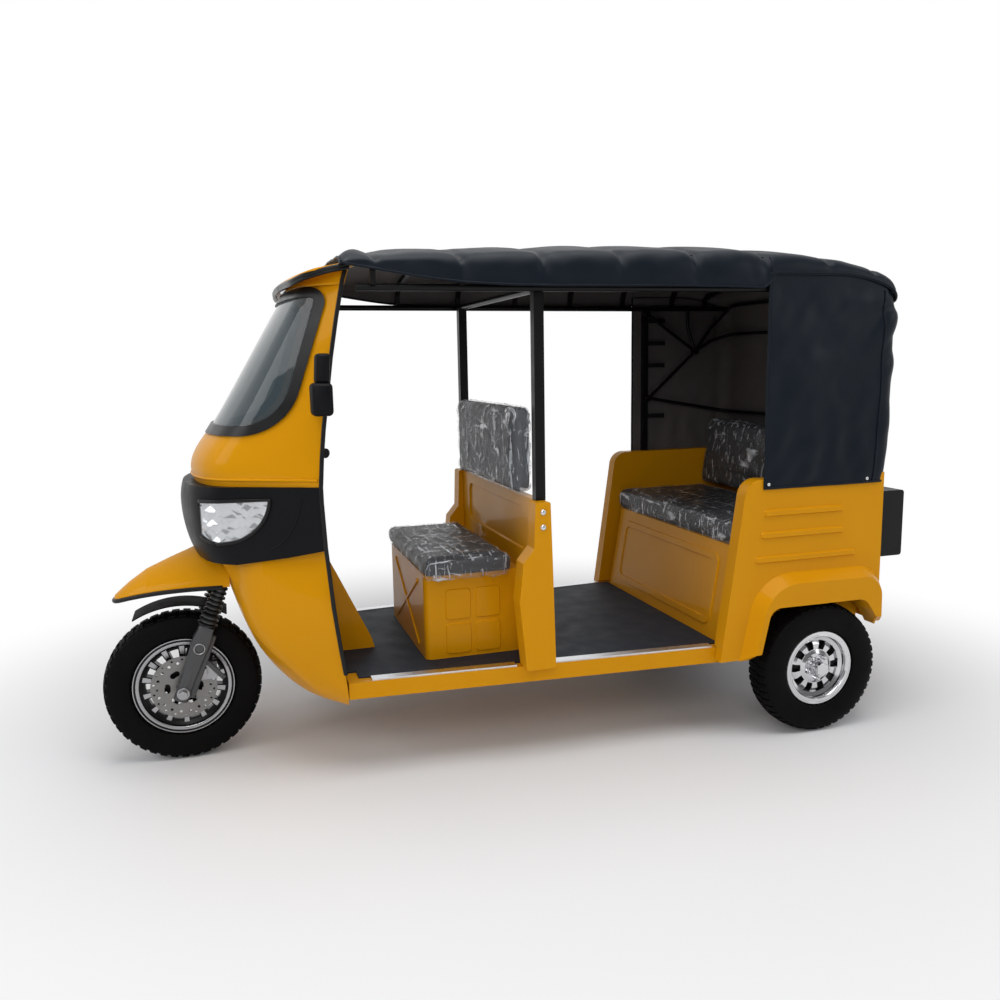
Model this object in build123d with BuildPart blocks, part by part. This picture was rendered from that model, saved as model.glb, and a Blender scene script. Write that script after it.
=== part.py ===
"""Passenger auto rickshaw: motorcycle-type fork, sheet-metal body, vinyl canopy on a tube frame.

Millimetres. X forward, Y left, Z up, ground at Z = 0, origin on the ground under the middle of the vehicle.
"""

import os
from math import cos, radians, sin

from build123d import *

os.makedirs("parts", exist_ok=True)

# Driving dimensions ---------------------------------------------------------------------------------------
wheelbase = 2195
front_axle_x = 1236
rear_axle_x = front_axle_x - wheelbase
rear_track = 1080
front_tyre_radius = 263
front_tyre_width = 108
rear_tyre_radius = 240
rear_tyre_width = 120
fork_rake = 22
fork_offset = 50
fork_leg_half = 95

sheet = 4
fit_gap = 0.3

floor_top = 340
sill_depth = 55
floor_front_x = 716
floor_rear_x = -640
floor_front_half = 427
floor_rear_half = 523
mat_thickness = 5

partition_x = 70
partition_top = 905
partition_half = 15
post_half_y = 462
post_width = 34
rail_z = 1585
rail_half_y = 490
rail_radius = 11
bench_front_x = -606
bench_half_y = 460
bench_top_z = 690
quarter_top = 940
quarter_shoulder = 62
quarter_rear_x = -1226
quarter_half_y = 562
quarter_inner_y = 508
tyre_cover = 10
fender_half_y = rear_track / 2 + rear_tyre_width / 2 + tyre_cover
canopy_half_y = 528
canopy_front_x = 668
canopy_rear_x = -1262
curtain_bottom = 915

# Derived places -------------------------------------------------------------------------------------------
mat_top = floor_top + mat_thickness
steer_back = Vector(-sin(radians(fork_rake)), 0, cos(radians(fork_rake)))
steer_forward = Vector(cos(radians(fork_rake)), 0, sin(radians(fork_rake)))
front_hub = Vector(front_axle_x, 0, front_tyre_radius)
steer_foot = front_hub - steer_forward * fork_offset


def along_steering(height, forward=0, side=0):
    """Point at a height on the steering axis, moved forward from the axis and sideways."""
    travel = (height - steer_foot.Z) / steer_back.Z
    return steer_foot + steer_back * travel + steer_forward * forward + Vector(0, side, 0)


def box_between(low, high, mode=Mode.ADD):
    """Box given by its lowest and highest corners."""
    size = [b - a for a, b in zip(low, high)]
    centre = [(a + b) / 2 for a, b in zip(low, high)]
    with Locations(Vector(*centre)):
        Box(*size, mode=mode)


def round_bar(start, end, radius, mode=Mode.ADD):
    """Straight round bar from one point to another."""
    start, end = Vector(start), Vector(end)
    with BuildSketch(Plane(origin=start, z_dir=end - start), mode=Mode.PRIVATE) as section:
        Circle(radius)
    extrude(section.sketch, amount=(end - start).length, mode=mode)


def bent_tube(points, radius, bend):
    """Round tube through the points, each corner turned at the bend radius."""
    with BuildLine(mode=Mode.PRIVATE) as path:
        FilletPolyline(*points, radius=bend)
    with BuildSketch(Plane(origin=path.line @ 0, z_dir=path.line % 0), mode=Mode.PRIVATE) as section:
        Circle(radius)
    sweep(sections=section.sketch, path=path.line)


def side_face(outline, rounding=0):
    """Face in the X-Z plane from corner points, with its corners rounded."""
    with BuildSketch(Plane.XZ, mode=Mode.PRIVATE) as face:
        with BuildLine():
            Polyline(*outline, close=True)
        make_face()
        if rounding:
            fillet(face.vertices(), rounding)
    return face.sketch


def across(face, low_y, high_y, mode=Mode.ADD, taper=0):
    """Carry a face of the X-Z plane across the body, from low_y to high_y."""
    return extrude(face.moved(Location((0, low_y, 0))), amount=high_y - low_y, dir=(0, 1, 0), taper=taper, mode=mode)


def revolved(outline, centre, mode=Mode.ADD):
    """Turn an outline of (sideways, radius) points about the wheel axis through a centre."""
    plane = Plane(origin=centre, x_dir=(0, 1, 0), z_dir=(1, 0, 0))
    with BuildSketch(plane, mode=Mode.PRIVATE) as section:
        with BuildLine():
            Polyline(*outline, close=True)
        make_face()
    revolve(section.sketch, axis=Axis(centre, (0, 1, 0)), mode=mode)


# Wheels ---------------------------------------------------------------------------------------------------
def tyre(centre, radius, width, bead_radius, bead_half, flange_radius):
    """Tyre carcass with a round crown, bulged walls and beads that sit on the rim."""
    wall = 9
    shoulder = (0.40 * width, radius - 0.07 * width)
    bulge = (width / 2, flange_radius + 0.42 * (radius - flange_radius))
    inner_bulge = (width / 2 - wall, bulge[1])
    inner_shoulder = (shoulder[0] - wall / 2, shoulder[1] - wall)
    bead_inner = (bead_half - wall, bead_radius)
    bead_top = (bead_half, flange_radius)
    bead_inner_top = (bead_half - wall, flange_radius)
    plane = Plane(origin=centre, x_dir=(0, 1, 0), z_dir=(1, 0, 0))
    with BuildSketch(plane, mode=Mode.PRIVATE) as section:
        with BuildLine():
            ThreePointArc((0, radius), (0.22 * width, radius - 0.018 * width), shoulder)
            ThreePointArc(shoulder, bulge, bead_top)
            Polyline(bead_top, (bead_half, bead_radius), bead_inner, bead_inner_top)
            ThreePointArc(bead_inner_top, inner_bulge, inner_shoulder)
            Polyline(inner_shoulder, (0, radius - wall - 3), (0, radius))
        make_face()
        mirror(about=Plane.YZ)
    revolve(section.sketch, axis=Axis(centre, (0, 1, 0)))


def rim_barrel(centre, flange_radius, bead_radius, bead_half):
    """Rolled rim: flanges, bead seats and a drop centre."""
    wall = 4
    lip = 6
    seat = bead_radius - fit_gap
    edge = bead_half + fit_gap
    well = seat - 20
    outer = [(edge + lip, flange_radius), (edge, flange_radius), (edge, seat), (edge - 12, seat), (edge - 18, well)]
    inner = [(edge - 18, well - wall), (edge - 10, seat - wall), (edge + lip, seat - wall)]
    half = outer + inner
    mirrored = [(-side, reach) for side, reach in half]
    revolved(outer + mirrored[4::-1] + mirrored[:4:-1] + inner[::1], centre)


front_bead_radius = 152
front_bead_half = 32
front_flange_radius = 169
hub_radius = 34
hub_half = 47
front_pin_radius = 8
spoke_count = 14
spoke_depth = 34
spoke_middle = 96
spoke_window = (34, 66)

with BuildPart() as front_rim:
    rim_barrel(front_hub, front_flange_radius, front_bead_radius, front_bead_half)
    with BuildSketch(Plane(origin=front_hub - Vector(0, spoke_depth / 2, 0), x_dir=(1, 0, 0), z_dir=(0, 1, 0))):
        Circle(front_bead_radius - 8)
        with PolarLocations(spoke_middle, spoke_count):
            Trapezoid(*spoke_window, 82, rotation=90, mode=Mode.SUBTRACT)
    extrude(amount=spoke_depth)
    revolved([(-hub_half, front_pin_radius + fit_gap), (-hub_half, hub_radius), (hub_half, hub_radius),
              (hub_half, front_pin_radius + fit_gap)], front_hub)
    round_bar(front_hub - Vector(0, hub_half, 0), front_hub + Vector(0, hub_half, 0),
              front_pin_radius + fit_gap, mode=Mode.SUBTRACT)
front_rim.part.label = "front_rim"
export_step(front_rim.part, "parts/front_rim.step")

with BuildPart() as front_tyre:
    tyre(front_hub, front_tyre_radius, front_tyre_width, front_bead_radius, front_bead_half, front_flange_radius)
front_tyre.part.label = "front_tyre"
export_step(front_tyre.part, "parts/front_tyre.step")

disc_radius = 110
disc_y = hub_half + fit_gap
disc_thickness = 4
with BuildPart() as brake_disc:
    with BuildSketch(Plane(origin=front_hub + Vector(0, disc_y, 0), x_dir=(1, 0, 0), z_dir=(0, 1, 0))):
        Circle(disc_radius)
        Circle(front_pin_radius + 4, mode=Mode.SUBTRACT)
        with PolarLocations(54, 6):
            SlotOverall(34, 20, rotation=90, mode=Mode.SUBTRACT)
        with PolarLocations(88, 18):
            Circle(5, mode=Mode.SUBTRACT)
        with PolarLocations(100, 18, start_angle=10):
            Circle(4, mode=Mode.SUBTRACT)
    extrude(amount=disc_thickness)
brake_disc.part.label = "brake_disc"
export_step(brake_disc.part, "parts/brake_disc.step")

rear_bead_radius = 122
rear_bead_half = 40
rear_flange_radius = 136
spindle_radius = 14
drum_radius = 88
drum_depth = 62
window_count = 10
window_middle = 81
window_size = (32, 34)

for name, side in (("left", 1), ("right", -1)):
    wheel_centre = Vector(rear_axle_x, side * rear_track / 2, rear_tyre_radius)
    dish = [(14, spindle_radius + fit_gap), (30, spindle_radius + fit_gap), (30, 50), (24, 62), (24, 84),
            (12, rear_bead_radius - 20), (6, rear_bead_radius - 20), (18, 80), (18, 60), (14, 50)]
    drum = [(-drum_depth, spindle_radius + fit_gap), (-drum_depth, drum_radius), (-4, drum_radius - 8),
            (14, 50), (14, spindle_radius + fit_gap)]
    with BuildPart() as rear_rim:
        rim_barrel(wheel_centre, rear_flange_radius, rear_bead_radius, rear_bead_half)
        revolved([(side * across_wheel, reach) for across_wheel, reach in dish], wheel_centre)
        plane = Plane(origin=wheel_centre - Vector(0, 60, 0), x_dir=(1, 0, 0), z_dir=(0, 1, 0))
        with BuildSketch(plane, mode=Mode.PRIVATE) as windows:
            with PolarLocations(window_middle, window_count):
                Trapezoid(*window_size, 82, rotation=90)
        extrude(windows.sketch, amount=120, mode=Mode.SUBTRACT)
        revolved([(side * across_wheel, reach) for across_wheel, reach in drum], wheel_centre)
        round_bar(wheel_centre + Vector(0, side * 30, 0), wheel_centre + Vector(0, side * 52, 0), 26)
    rear_rim.part.label = f"rear_rim_{name}"
    export_step(rear_rim.part, f"parts/rear_rim_{name}.step")
    with BuildPart() as rear_tyre:
        tyre(wheel_centre, rear_tyre_radius, rear_tyre_width, rear_bead_radius, rear_bead_half, rear_flange_radius)
    rear_tyre.part.label = f"rear_tyre_{name}"
    export_step(rear_tyre.part, f"parts/rear_tyre_{name}.step")


# Steering -------------------------------------------------------------------------------------------------
stem_radius = 15
head_bottom = 690
head_top = 900
clamp_depth = 26
clamp_gap = 1
leg_tube_radius = 17
slider_radius = 25
slider_top = 500
boot_top = 610
upper_clamp_z = head_top + clamp_gap
lower_clamp_z = head_bottom - clamp_gap
bar_half = 285

with BuildPart() as fork:
    for side in (-1, 1):
        leg_foot = along_steering(steer_foot.Z, fork_offset, side * fork_leg_half)
        slider_end = along_steering(slider_top, fork_offset, side * fork_leg_half)
        boot_end = along_steering(boot_top, fork_offset, side * fork_leg_half)
        leg_end = along_steering(upper_clamp_z, fork_offset, side * fork_leg_half)
        round_bar(leg_foot - steer_back * 30, slider_end, slider_radius)
        round_bar(slider_end, boot_end, slider_radius - 4)
        round_bar(boot_end, leg_end + steer_back * clamp_depth, leg_tube_radius)
        box_between(front_hub + Vector(-22, side * fork_leg_half - 16, -20),
                    front_hub + Vector(22, side * fork_leg_half + 16, 20))
    for low in (lower_clamp_z - clamp_depth, upper_clamp_z):
        with BuildSketch(Plane(origin=along_steering(low), x_dir=(0, 1, 0), z_dir=steer_back)):
            with Locations((0, -fork_offset / 2)):
                RectangleRounded(2 * fork_leg_half + 56, fork_offset + 50, 20)
        extrude(amount=clamp_depth)
    round_bar(along_steering(lower_clamp_z - clamp_depth), along_steering(upper_clamp_z), stem_radius)
    round_bar(front_hub - Vector(0, fork_leg_half, 0), front_hub + Vector(0, fork_leg_half, 0), front_pin_radius)
fork.part.label = "fork"
export_step(fork.part, "parts/fork.step")

guard_radius = front_tyre_radius + 34
guard_half = 66
guard_strap_z = 533
with BuildPart() as inner_mudguard:
    plane = Plane(origin=front_hub, x_dir=(1, 0, 0), z_dir=(0, -1, 0))
    with BuildSketch(plane) as guard_section:
        with BuildLine():
            start, end = radians(60), radians(122)
            outer = ThreePointArc(*[(guard_radius * cos(a), guard_radius * sin(a))
                                    for a in (start, (start + end) / 2, end)])
            inner = ThreePointArc(*[((guard_radius - sheet) * cos(a), (guard_radius - sheet) * sin(a))
                                    for a in (start, (start + end) / 2, end)])
            Line(outer @ 0, inner @ 0)
            Line(outer @ 1, inner @ 1)
        make_face()
    extrude(amount=guard_half, both=True)
    strap_x = along_steering(guard_strap_z, fork_offset).X
    strap_half = fork_leg_half - slider_radius + 4 - fit_gap
    box_between((strap_x - 18, -strap_half, guard_strap_z), (strap_x + 18, strap_half, guard_strap_z + 6))
inner_mudguard.part.label = "inner_mudguard"
export_step(inner_mudguard.part, "parts/inner_mudguard.step")

bar_radius = 11
grip_radius = 16
riser_top = upper_clamp_z + 150
with BuildPart() as handlebar:
    middle = along_steering(riser_top, 0)
    ends = [(1, middle + Vector(-120, bar_half, 25)), (-1, middle + Vector(-120, -bar_half, 25))]
    route = [ends[0][1], middle + Vector(-30, 130, 40), middle + Vector(0, 70, 0), middle + Vector(0, -70, 0),
             middle + Vector(-30, -130, 40), ends[1][1]]
    bent_tube(route, bar_radius, 30)
    for side, tip in ends:
        root = middle + Vector(-30, side * 130, 40)
        reach = (tip - root).normalized()
        round_bar(tip - reach * 125, tip + reach * 8, grip_radius)
        lever_root = tip - reach * 150 + Vector(22, 0, 0)
        box_between(lever_root + Vector(-36, -14, -16), lever_root + Vector(14, 14, 16))
        round_bar(lever_root + Vector(8, 0, 0), tip + Vector(62, 0, 0), 5)
    for side in (-1, 1):
        foot = along_steering(upper_clamp_z, 0, side * 35) + steer_back * clamp_depth
        round_bar(foot, middle + Vector(0, side * 35, 0), 14)
handlebar.part.label = "handlebar"
export_step(handlebar.part, "parts/handlebar.step")

with BuildPart() as brake_caliper:
    centre = front_hub + Vector(-sin(radians(55)) * 96, disc_y + disc_thickness / 2, cos(radians(55)) * 96)
    box_between(centre + Vector(-34, -16, -30), centre + Vector(34, 20, 30))
    box_between(centre + Vector(0, 10, -14), centre + Vector(60, 40, 14))
    disc_middle = front_hub + Vector(0, disc_y + disc_thickness / 2, 0)
    slot_half = Vector(0, disc_thickness / 2 + 1.5, 0)
    round_bar(disc_middle - slot_half, disc_middle + slot_half, disc_radius + 3, mode=Mode.SUBTRACT)
    leg_foot = along_steering(steer_foot.Z, fork_offset, fork_leg_half)
    round_bar(leg_foot - steer_back * 60, leg_foot + steer_back * 260, slider_radius + fit_gap, mode=Mode.SUBTRACT)
brake_caliper.part.label = "brake_caliper"
export_step(brake_caliper.part, "parts/brake_caliper.step")


# Nose -----------------------------------------------------------------------------------------------------
# Each row of a table: height, front, corner x, corner y, rear, half width at the rear, corner radius.
lower_sections = [
    (250, 866, 766, 310, 716, 375, 45),
    (290, 908, 800, 350, 718, 430, 60),
    (350, 956, 851, 360, 724, 440, 90),
    (450, 1008, 945, 348, 737, 440, 120),
    (600, 1060, 1014, 328, 755, 440, 145),
    (802, 1116, 1060, 290, 771, 437.5, 165),
]
mask_sections = [
    (725, 1156, 1096, 285, 768, 443, 190),
    (800, 1188, 1121, 285, 772, 444, 190),
    (865, 1200, 1131, 285, 775, 444, 190),
    (940, 1202, 1131, 285, 777, 444, 190),
    (985, 1192, 1124, 285, 777, 444, 190),
]
upper_sections = [
    (985, 1155, 1086, 275, 777, 440, 190),
    (1080, 1148, 1078, 275, 769, 438, 190),
    (1160, 1090, 1024, 285, 760, 436, 180),
    (1380, 956, 901, 305, 728, 434, 150),
    (1610, 818, 781, 330, 683, 432, 120),
    (1700, 764, 729, 335, 655, 430, 100),
]


def bow(section, inset=0, tail=0):
    """Level outline of the nose: round front, rounded corners and straight sides."""
    height, front, corner_x, corner_y, rear, half_width, corner_radius = section
    slope = (half_width - corner_y) / (corner_x - rear)
    rear_corner = (rear - tail, half_width + slope * tail)
    with BuildSketch(Plane.XY.offset(height), mode=Mode.PRIVATE) as outline:
        with BuildLine():
            ThreePointArc((corner_x, -corner_y), (front, 0), (corner_x, corner_y))
            Line((corner_x, corner_y), rear_corner)
            Line(rear_corner, (rear_corner[0], -rear_corner[1]))
            Line((rear_corner[0], -rear_corner[1]), (corner_x, -corner_y))
        make_face()
        corners = outline.vertices().filter_by(lambda corner: corner.X > rear - tail + 1)
        fillet(corners, corner_radius)
        if inset:
            offset(amount=-inset, kind=Kind.INTERSECTION, mode=Mode.REPLACE)
    return outline.sketch


def nose_form(sections, inset=0, tail=0, mode=Mode.ADD):
    """Solid of the nose through its level outlines."""
    return loft([bow(section, inset, tail) for section in sections], mode=mode)


def nose_shell(sections, wall, outset=0):
    """Nose skin of one thickness, open at the rear, the top and the bottom."""
    nose_form(sections, -outset)
    nose_form(sections, wall - outset, 4 * wall + 40, mode=Mode.SUBTRACT)


screen_low_radius = 200
screen_high_radius = 45
screen_corners = [(1300, 1140), (868, 1143), (716, 1597), (1300, 1590)]
with BuildSketch(Plane.XZ, mode=Mode.PRIVATE) as screen_sketch:
    with BuildLine():
        Polyline(*screen_corners, close=True)
    make_face()
    fillet(screen_sketch.vertices().sort_by(Axis.X)[1], screen_low_radius)
    fillet(screen_sketch.vertices().sort_by(Axis.X)[0], screen_high_radius)
screen_opening = screen_sketch.sketch
gasket_width = 30
gasket_proud = 8


def inset_face(face, amount):
    """The face with its outline moved inwards."""
    with BuildSketch(Plane.XZ, mode=Mode.PRIVATE) as smaller:
        offset(face, amount=-amount, kind=Kind.INTERSECTION)
    return smaller.sketch


# The cap over the header: rear and front arches in the Y-Z plane.
cap_front_x = 846
cap_rear_x = 640
cap_half = 452
cap_rise = (1622, 1690)
cap_side_drop = 62
cap_thickness = 24


def cap_arch(x, crown, lift, depth):
    """Arched band of the cap at one place along the body."""
    with BuildSketch(Plane(origin=(x, 0, 0), x_dir=(0, 1, 0), z_dir=(1, 0, 0)), mode=Mode.PRIVATE) as arch:
        with BuildLine():
            low = crown + lift
            ThreePointArc((-cap_half, low - cap_side_drop), (0, low), (cap_half, low - cap_side_drop))
            Line((cap_half, low - cap_side_drop), (cap_half, low - cap_side_drop + depth))
            ThreePointArc((cap_half, low - cap_side_drop + depth), (0, low + depth),
                          (-cap_half, low - cap_side_drop + depth))
            Line((-cap_half, low - cap_side_drop + depth), (-cap_half, low - cap_side_drop))
        make_face()
    return arch.sketch


def cap_form(lift, depth, mode=Mode.ADD):
    """Cap solid, or the space above its underside."""
    rows = zip((cap_rear_x, cap_front_x), (cap_rise[1], cap_rise[0]))
    return loft([cap_arch(x, crown, lift, depth) for x, crown in rows], mode=mode)


with BuildPart() as nose_upper:
    nose_shell(upper_sections, sheet)
    across(screen_opening, -600, 600, mode=Mode.SUBTRACT)
    cap_form(-fit_gap, 200, mode=Mode.SUBTRACT)
nose_upper.part.label = "nose_upper"
export_step(nose_upper.part, "parts/nose_upper.step")

with BuildPart() as visor:
    cap_form(0, cap_thickness)
    with BuildSketch(Plane.XY.offset(1500)) as cap_plan:
        with BuildLine():
            ThreePointArc((cap_front_x - 40, -cap_half), (cap_front_x, 0), (cap_front_x - 40, cap_half))
            Line((cap_front_x - 40, cap_half), (cap_rear_x, cap_half))
            Line((cap_rear_x, cap_half), (cap_rear_x, -cap_half))
            Line((cap_rear_x, -cap_half), (cap_front_x - 40, -cap_half))
        make_face()
        fillet(cap_plan.vertices().sort_by(Axis.X)[-2:], 90)
    extrude(amount=300, mode=Mode.INTERSECT)
visor.part.label = "visor"
export_step(visor.part, "parts/visor.step")

gasket_outer = inset_face(screen_opening, fit_gap)
gasket_inner = inset_face(screen_opening, gasket_width)
glass_edge = inset_face(screen_opening, gasket_width + fit_gap)
with BuildPart() as windscreen_gasket:
    nose_shell(upper_sections[1:], sheet + 2 * gasket_proud, gasket_proud)
    across(gasket_outer, -600, 600, mode=Mode.INTERSECT)
    across(gasket_inner, -600, 600, mode=Mode.SUBTRACT)
    cap_form(-fit_gap, 200, mode=Mode.SUBTRACT)
windscreen_gasket.part.label = "windscreen_gasket"
export_step(windscreen_gasket.part, "parts/windscreen_gasket.step")

with BuildPart() as windscreen_glass:
    nose_shell(upper_sections[1:], sheet + 1)
    across(glass_edge, -600, 600, mode=Mode.INTERSECT)
windscreen_glass.part.label = "windscreen_glass"
export_step(windscreen_glass.part, "parts/windscreen_glass.step")

# Mask, headlamps
mask_bottom = [(1250, 700), (1250, 745), (1110, 737), (1036, 736), (880, 762), (740, 792), (740, 700)]
ledge_top = mask_sections[-1][0]
lamp_low_y = 90
with BuildSketch(Plane.XZ, mode=Mode.PRIVATE) as lamp_sketch:
    with BuildLine():
        Line((1135, 940), (927, 946))
        ThreePointArc((927, 946), (972, 850), (1066, 806))
        ThreePointArc((1066, 806), (1106, 808), (1135, 826))
        Line((1135, 826), (1135, 940))
    make_face()
lamp_opening = lamp_sketch.sketch
lamp_face = inset_face(lamp_opening, fit_gap)
lamp_depth = 55

with BuildPart() as front_mask:
    nose_shell(mask_sections, sheet)
    with BuildPart(mode=Mode.PRIVATE) as ledge:
        nose_form(mask_sections[-2:])
        nose_form([(height,) + upper_sections[0][1:] for height in (900, 1000)], 30, 200, mode=Mode.SUBTRACT)
        box_between((600, -600, 800), (1300, 600, ledge_top - sheet), mode=Mode.SUBTRACT)
    add(ledge.part)
    across(side_face(mask_bottom), -600, 600, mode=Mode.SUBTRACT)
    for side in (-1, 1):
        across(lamp_opening, min(side * lamp_low_y, side * 600), max(side * lamp_low_y, side * 600),
               mode=Mode.SUBTRACT)
front_mask.part.label = "front_mask"
export_step(front_mask.part, "parts/front_mask.step")

with BuildPart() as headlamps:
    nose_shell(mask_sections, lamp_depth)
    with BuildPart(mode=Mode.PRIVATE) as lamp_blocks:
        for side in (-1, 1):
            across(lamp_face, min(side * (lamp_low_y + 1), side * 600), max(side * (lamp_low_y + 1), side * 600))
    add(lamp_blocks.part, mode=Mode.INTERSECT)
headlamps.part.label = "headlamps"
export_step(headlamps.part, "parts/headlamps.step")

# Lower nose with the fork opening
fork_opening_half = 152
fork_opening_low = 515
with BuildPart() as nose_lower:
    nose_form(lower_sections)
    nose_form([(lower_sections[0][0] + sheet,) + lower_sections[0][1:]] + lower_sections[1:], sheet, 60,
              mode=Mode.SUBTRACT)
    box_between((940, -fork_opening_half, fork_opening_low), (1250, fork_opening_half, 900), mode=Mode.SUBTRACT)
nose_lower.part.label = "nose_lower"
export_step(nose_lower.part, "parts/nose_lower.step")

# Beak mudguard. Each row: place along the body, ridge height, side edge height, half width.
beak_sections = [(1062, 785, 640, 200), (1163, 752, 632, 158), (1260, 713, 621, 118), (1330, 682, 610, 90),
                 (1388, 642, 597, 62), (1422, 613, 586, 40), (1437, 599, 581, 22)]
beak_lip = 10


def beak_outline(row, drop=0, inset=0):
    """Ridged cross-section of the beak, with its two creases."""
    x, ridge, edge, half = row
    half -= inset
    lip = edge + beak_lip
    ridge -= drop
    side = (0.55 * half, lip + 0.70 * (ridge - lip))
    with BuildSketch(Plane(origin=(x, 0, 0), x_dir=(0, 1, 0), z_dir=(1, 0, 0)), mode=Mode.PRIVATE) as outline:
        with BuildLine():
            ThreePointArc((-half, lip), (-side[0], side[1]), (0, ridge))
            ThreePointArc((0, ridge), side, (half, lip))
            Polyline((half, lip), (half, edge - drop), (-half, edge - drop), (-half, lip))
        make_face()
    return outline.sketch


with BuildPart() as beak_mudguard:
    loft([beak_outline(row) for row in beak_sections], ruled=True)
    loft([beak_outline(row, sheet, sheet) for row in beak_sections], ruled=True, mode=Mode.SUBTRACT)
    nose_form(lower_sections, -fit_gap, mode=Mode.SUBTRACT)
    nose_form(mask_sections, -fit_gap, mode=Mode.SUBTRACT)
    round_bar(along_steering(500), along_steering(900), 152, mode=Mode.SUBTRACT)
beak_mudguard.part.label = "beak_mudguard"
export_step(beak_mudguard.part, "parts/beak_mudguard.step")

# Dashboard shelf
dash_top = 1132
dash_rear_x = 1000
with BuildPart() as dashboard:
    nose_form(upper_sections[1:3], sheet + fit_gap)
    box_between((500, -600, 1000), (dash_rear_x, 600, 1300), mode=Mode.SUBTRACT)
    box_between((500, -600, 1000), (1300, 600, dash_top - 18), mode=Mode.SUBTRACT)
    box_between((500, -600, dash_top), (1300, 600, 1300), mode=Mode.SUBTRACT)
dashboard.part.label = "dashboard"
export_step(dashboard.part, "parts/dashboard.step")

# Steering housing in the footwell
housing_half = 95
housing_outline = [(576, mat_top), (587, 386), (705, 640), (782, 800), (840, 800), (840, mat_top)]
with BuildPart() as steering_housing:
    across(side_face(housing_outline), -housing_half, housing_half)
    across(side_face([(582, mat_top - 1), (592, 384), (711, 640), (790, 810), (860, 810), (860, mat_top - 1)]),
           -housing_half + 3, housing_half - 3, mode=Mode.SUBTRACT)
steering_housing.part.label = "steering_housing"
export_step(steering_housing.part, "parts/steering_housing.step")

# Mirrors
with BuildPart() as door_mirrors:
    for side in (-1, 1):
        root = Vector(742, side * 432, 1270)
        shell_centre = Vector(772, side * 520, 1300)
        with BuildSketch(Plane(origin=shell_centre - Vector(22, 0, 0), x_dir=(0, 1, 0), z_dir=(1, 0, 0))):
            RectangleRounded(100, 185, 40)
        extrude(amount=42, taper=12)
        round_bar(root, shell_centre, 8)
    nose_form(upper_sections, -fit_gap, mode=Mode.SUBTRACT)
door_mirrors.part.label = "door_mirrors"
export_step(door_mirrors.part, "parts/door_mirrors.step")


# Floor and chassis ----------------------------------------------------------------------------------------
def floor_half(x):
    """Half width of the floor at a place along the body."""
    share = (x - floor_rear_x) / (floor_front_x - floor_rear_x)
    return floor_rear_half + share * (floor_front_half - floor_rear_half)


def floor_plan(height, inset=0):
    """Tapered plan of the floor."""
    front, rear = floor_front_x - inset, floor_rear_x + inset
    with BuildSketch(Plane.XY.offset(height), mode=Mode.PRIVATE) as plan:
        with BuildLine():
            Polyline((front, -floor_half(front) + inset), (front, floor_half(front) - inset),
                     (rear, floor_half(rear) - inset), (rear, -floor_half(rear) + inset), close=True)
        make_face()
    return plan.sketch


sill_width = 38
nose_floor_x = 860
spine_hole_x = (630, 770)
with BuildPart() as floor_pan:
    extrude(floor_plan(floor_top - sill_depth), amount=sill_depth)
    extrude(floor_plan(floor_top - sill_depth - 1, sheet), amount=sill_depth - 2, mode=Mode.SUBTRACT)
    with BuildPart(mode=Mode.PRIVATE) as nose_floor:
        nose_form(lower_sections, sheet + fit_gap)
        box_between((0, -600, 200), (nose_floor_x, 600, floor_top - 3), mode=Mode.SUBTRACT)
        box_between((0, -600, 0), (2000, 600, floor_top - 3), mode=Mode.SUBTRACT)
        box_between((0, -600, floor_top), (2000, 600, 1000), mode=Mode.SUBTRACT)
        box_between((nose_floor_x, -600, 200), (2000, 600, 500), mode=Mode.SUBTRACT)
    add(nose_floor.part)
    box_between((floor_rear_x - 1, -floor_rear_half + sill_width, 200), (floor_rear_x + sheet + 1,
                floor_rear_half - sill_width, floor_top - 3), mode=Mode.SUBTRACT)
    box_between((spine_hole_x[0], -60, 200), (spine_hole_x[1], 60, floor_top + 1), mode=Mode.SUBTRACT)
floor_pan.part.label = "floor_pan"
export_step(floor_pan.part, "parts/floor_pan.step")

with BuildPart() as floor_mat:
    extrude(floor_plan(floor_top, sill_width), amount=mat_thickness)
    box_between((floor_front_x - sill_width - 1, -330, floor_top), (nose_floor_x - 15, 330, mat_top))
    box_between((600, -housing_half + 6, floor_top - 1), (nose_floor_x, housing_half - 6, mat_top + 1),
                mode=Mode.SUBTRACT)
    box_between((partition_x - partition_half - 1, -600, floor_top - 1),
                (partition_x + partition_half + 1, 600, mat_top + 1), mode=Mode.SUBTRACT)
floor_mat.part.label = "floor_mat"
export_step(floor_mat.part, "parts/floor_mat.step")

strip_front_x = 640
strip_rear_x = -560
with BuildPart() as sill_strips:
    for side in (-1, 1):
        with BuildSketch(Plane.XY.offset(floor_top)):
            with BuildLine():
                Polyline((strip_front_x, side * (floor_half(strip_front_x) - 4)),
                         (strip_rear_x, side * (floor_half(strip_rear_x) - 4)),
                         (strip_rear_x, side * (floor_half(strip_rear_x) - sill_width + fit_gap)),
                         (strip_front_x, side * (floor_half(strip_front_x) - sill_width + fit_gap)), close=True)
            make_face()
    extrude(amount=mat_thickness + 2)
    box_between((partition_x - 35 - fit_gap, -600, floor_top - 1), (partition_x + 85 + fit_gap, 600, 400),
                mode=Mode.SUBTRACT)
sill_strips.part.label = "sill_strips"
export_step(sill_strips.part, "parts/sill_strips.step")

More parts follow.
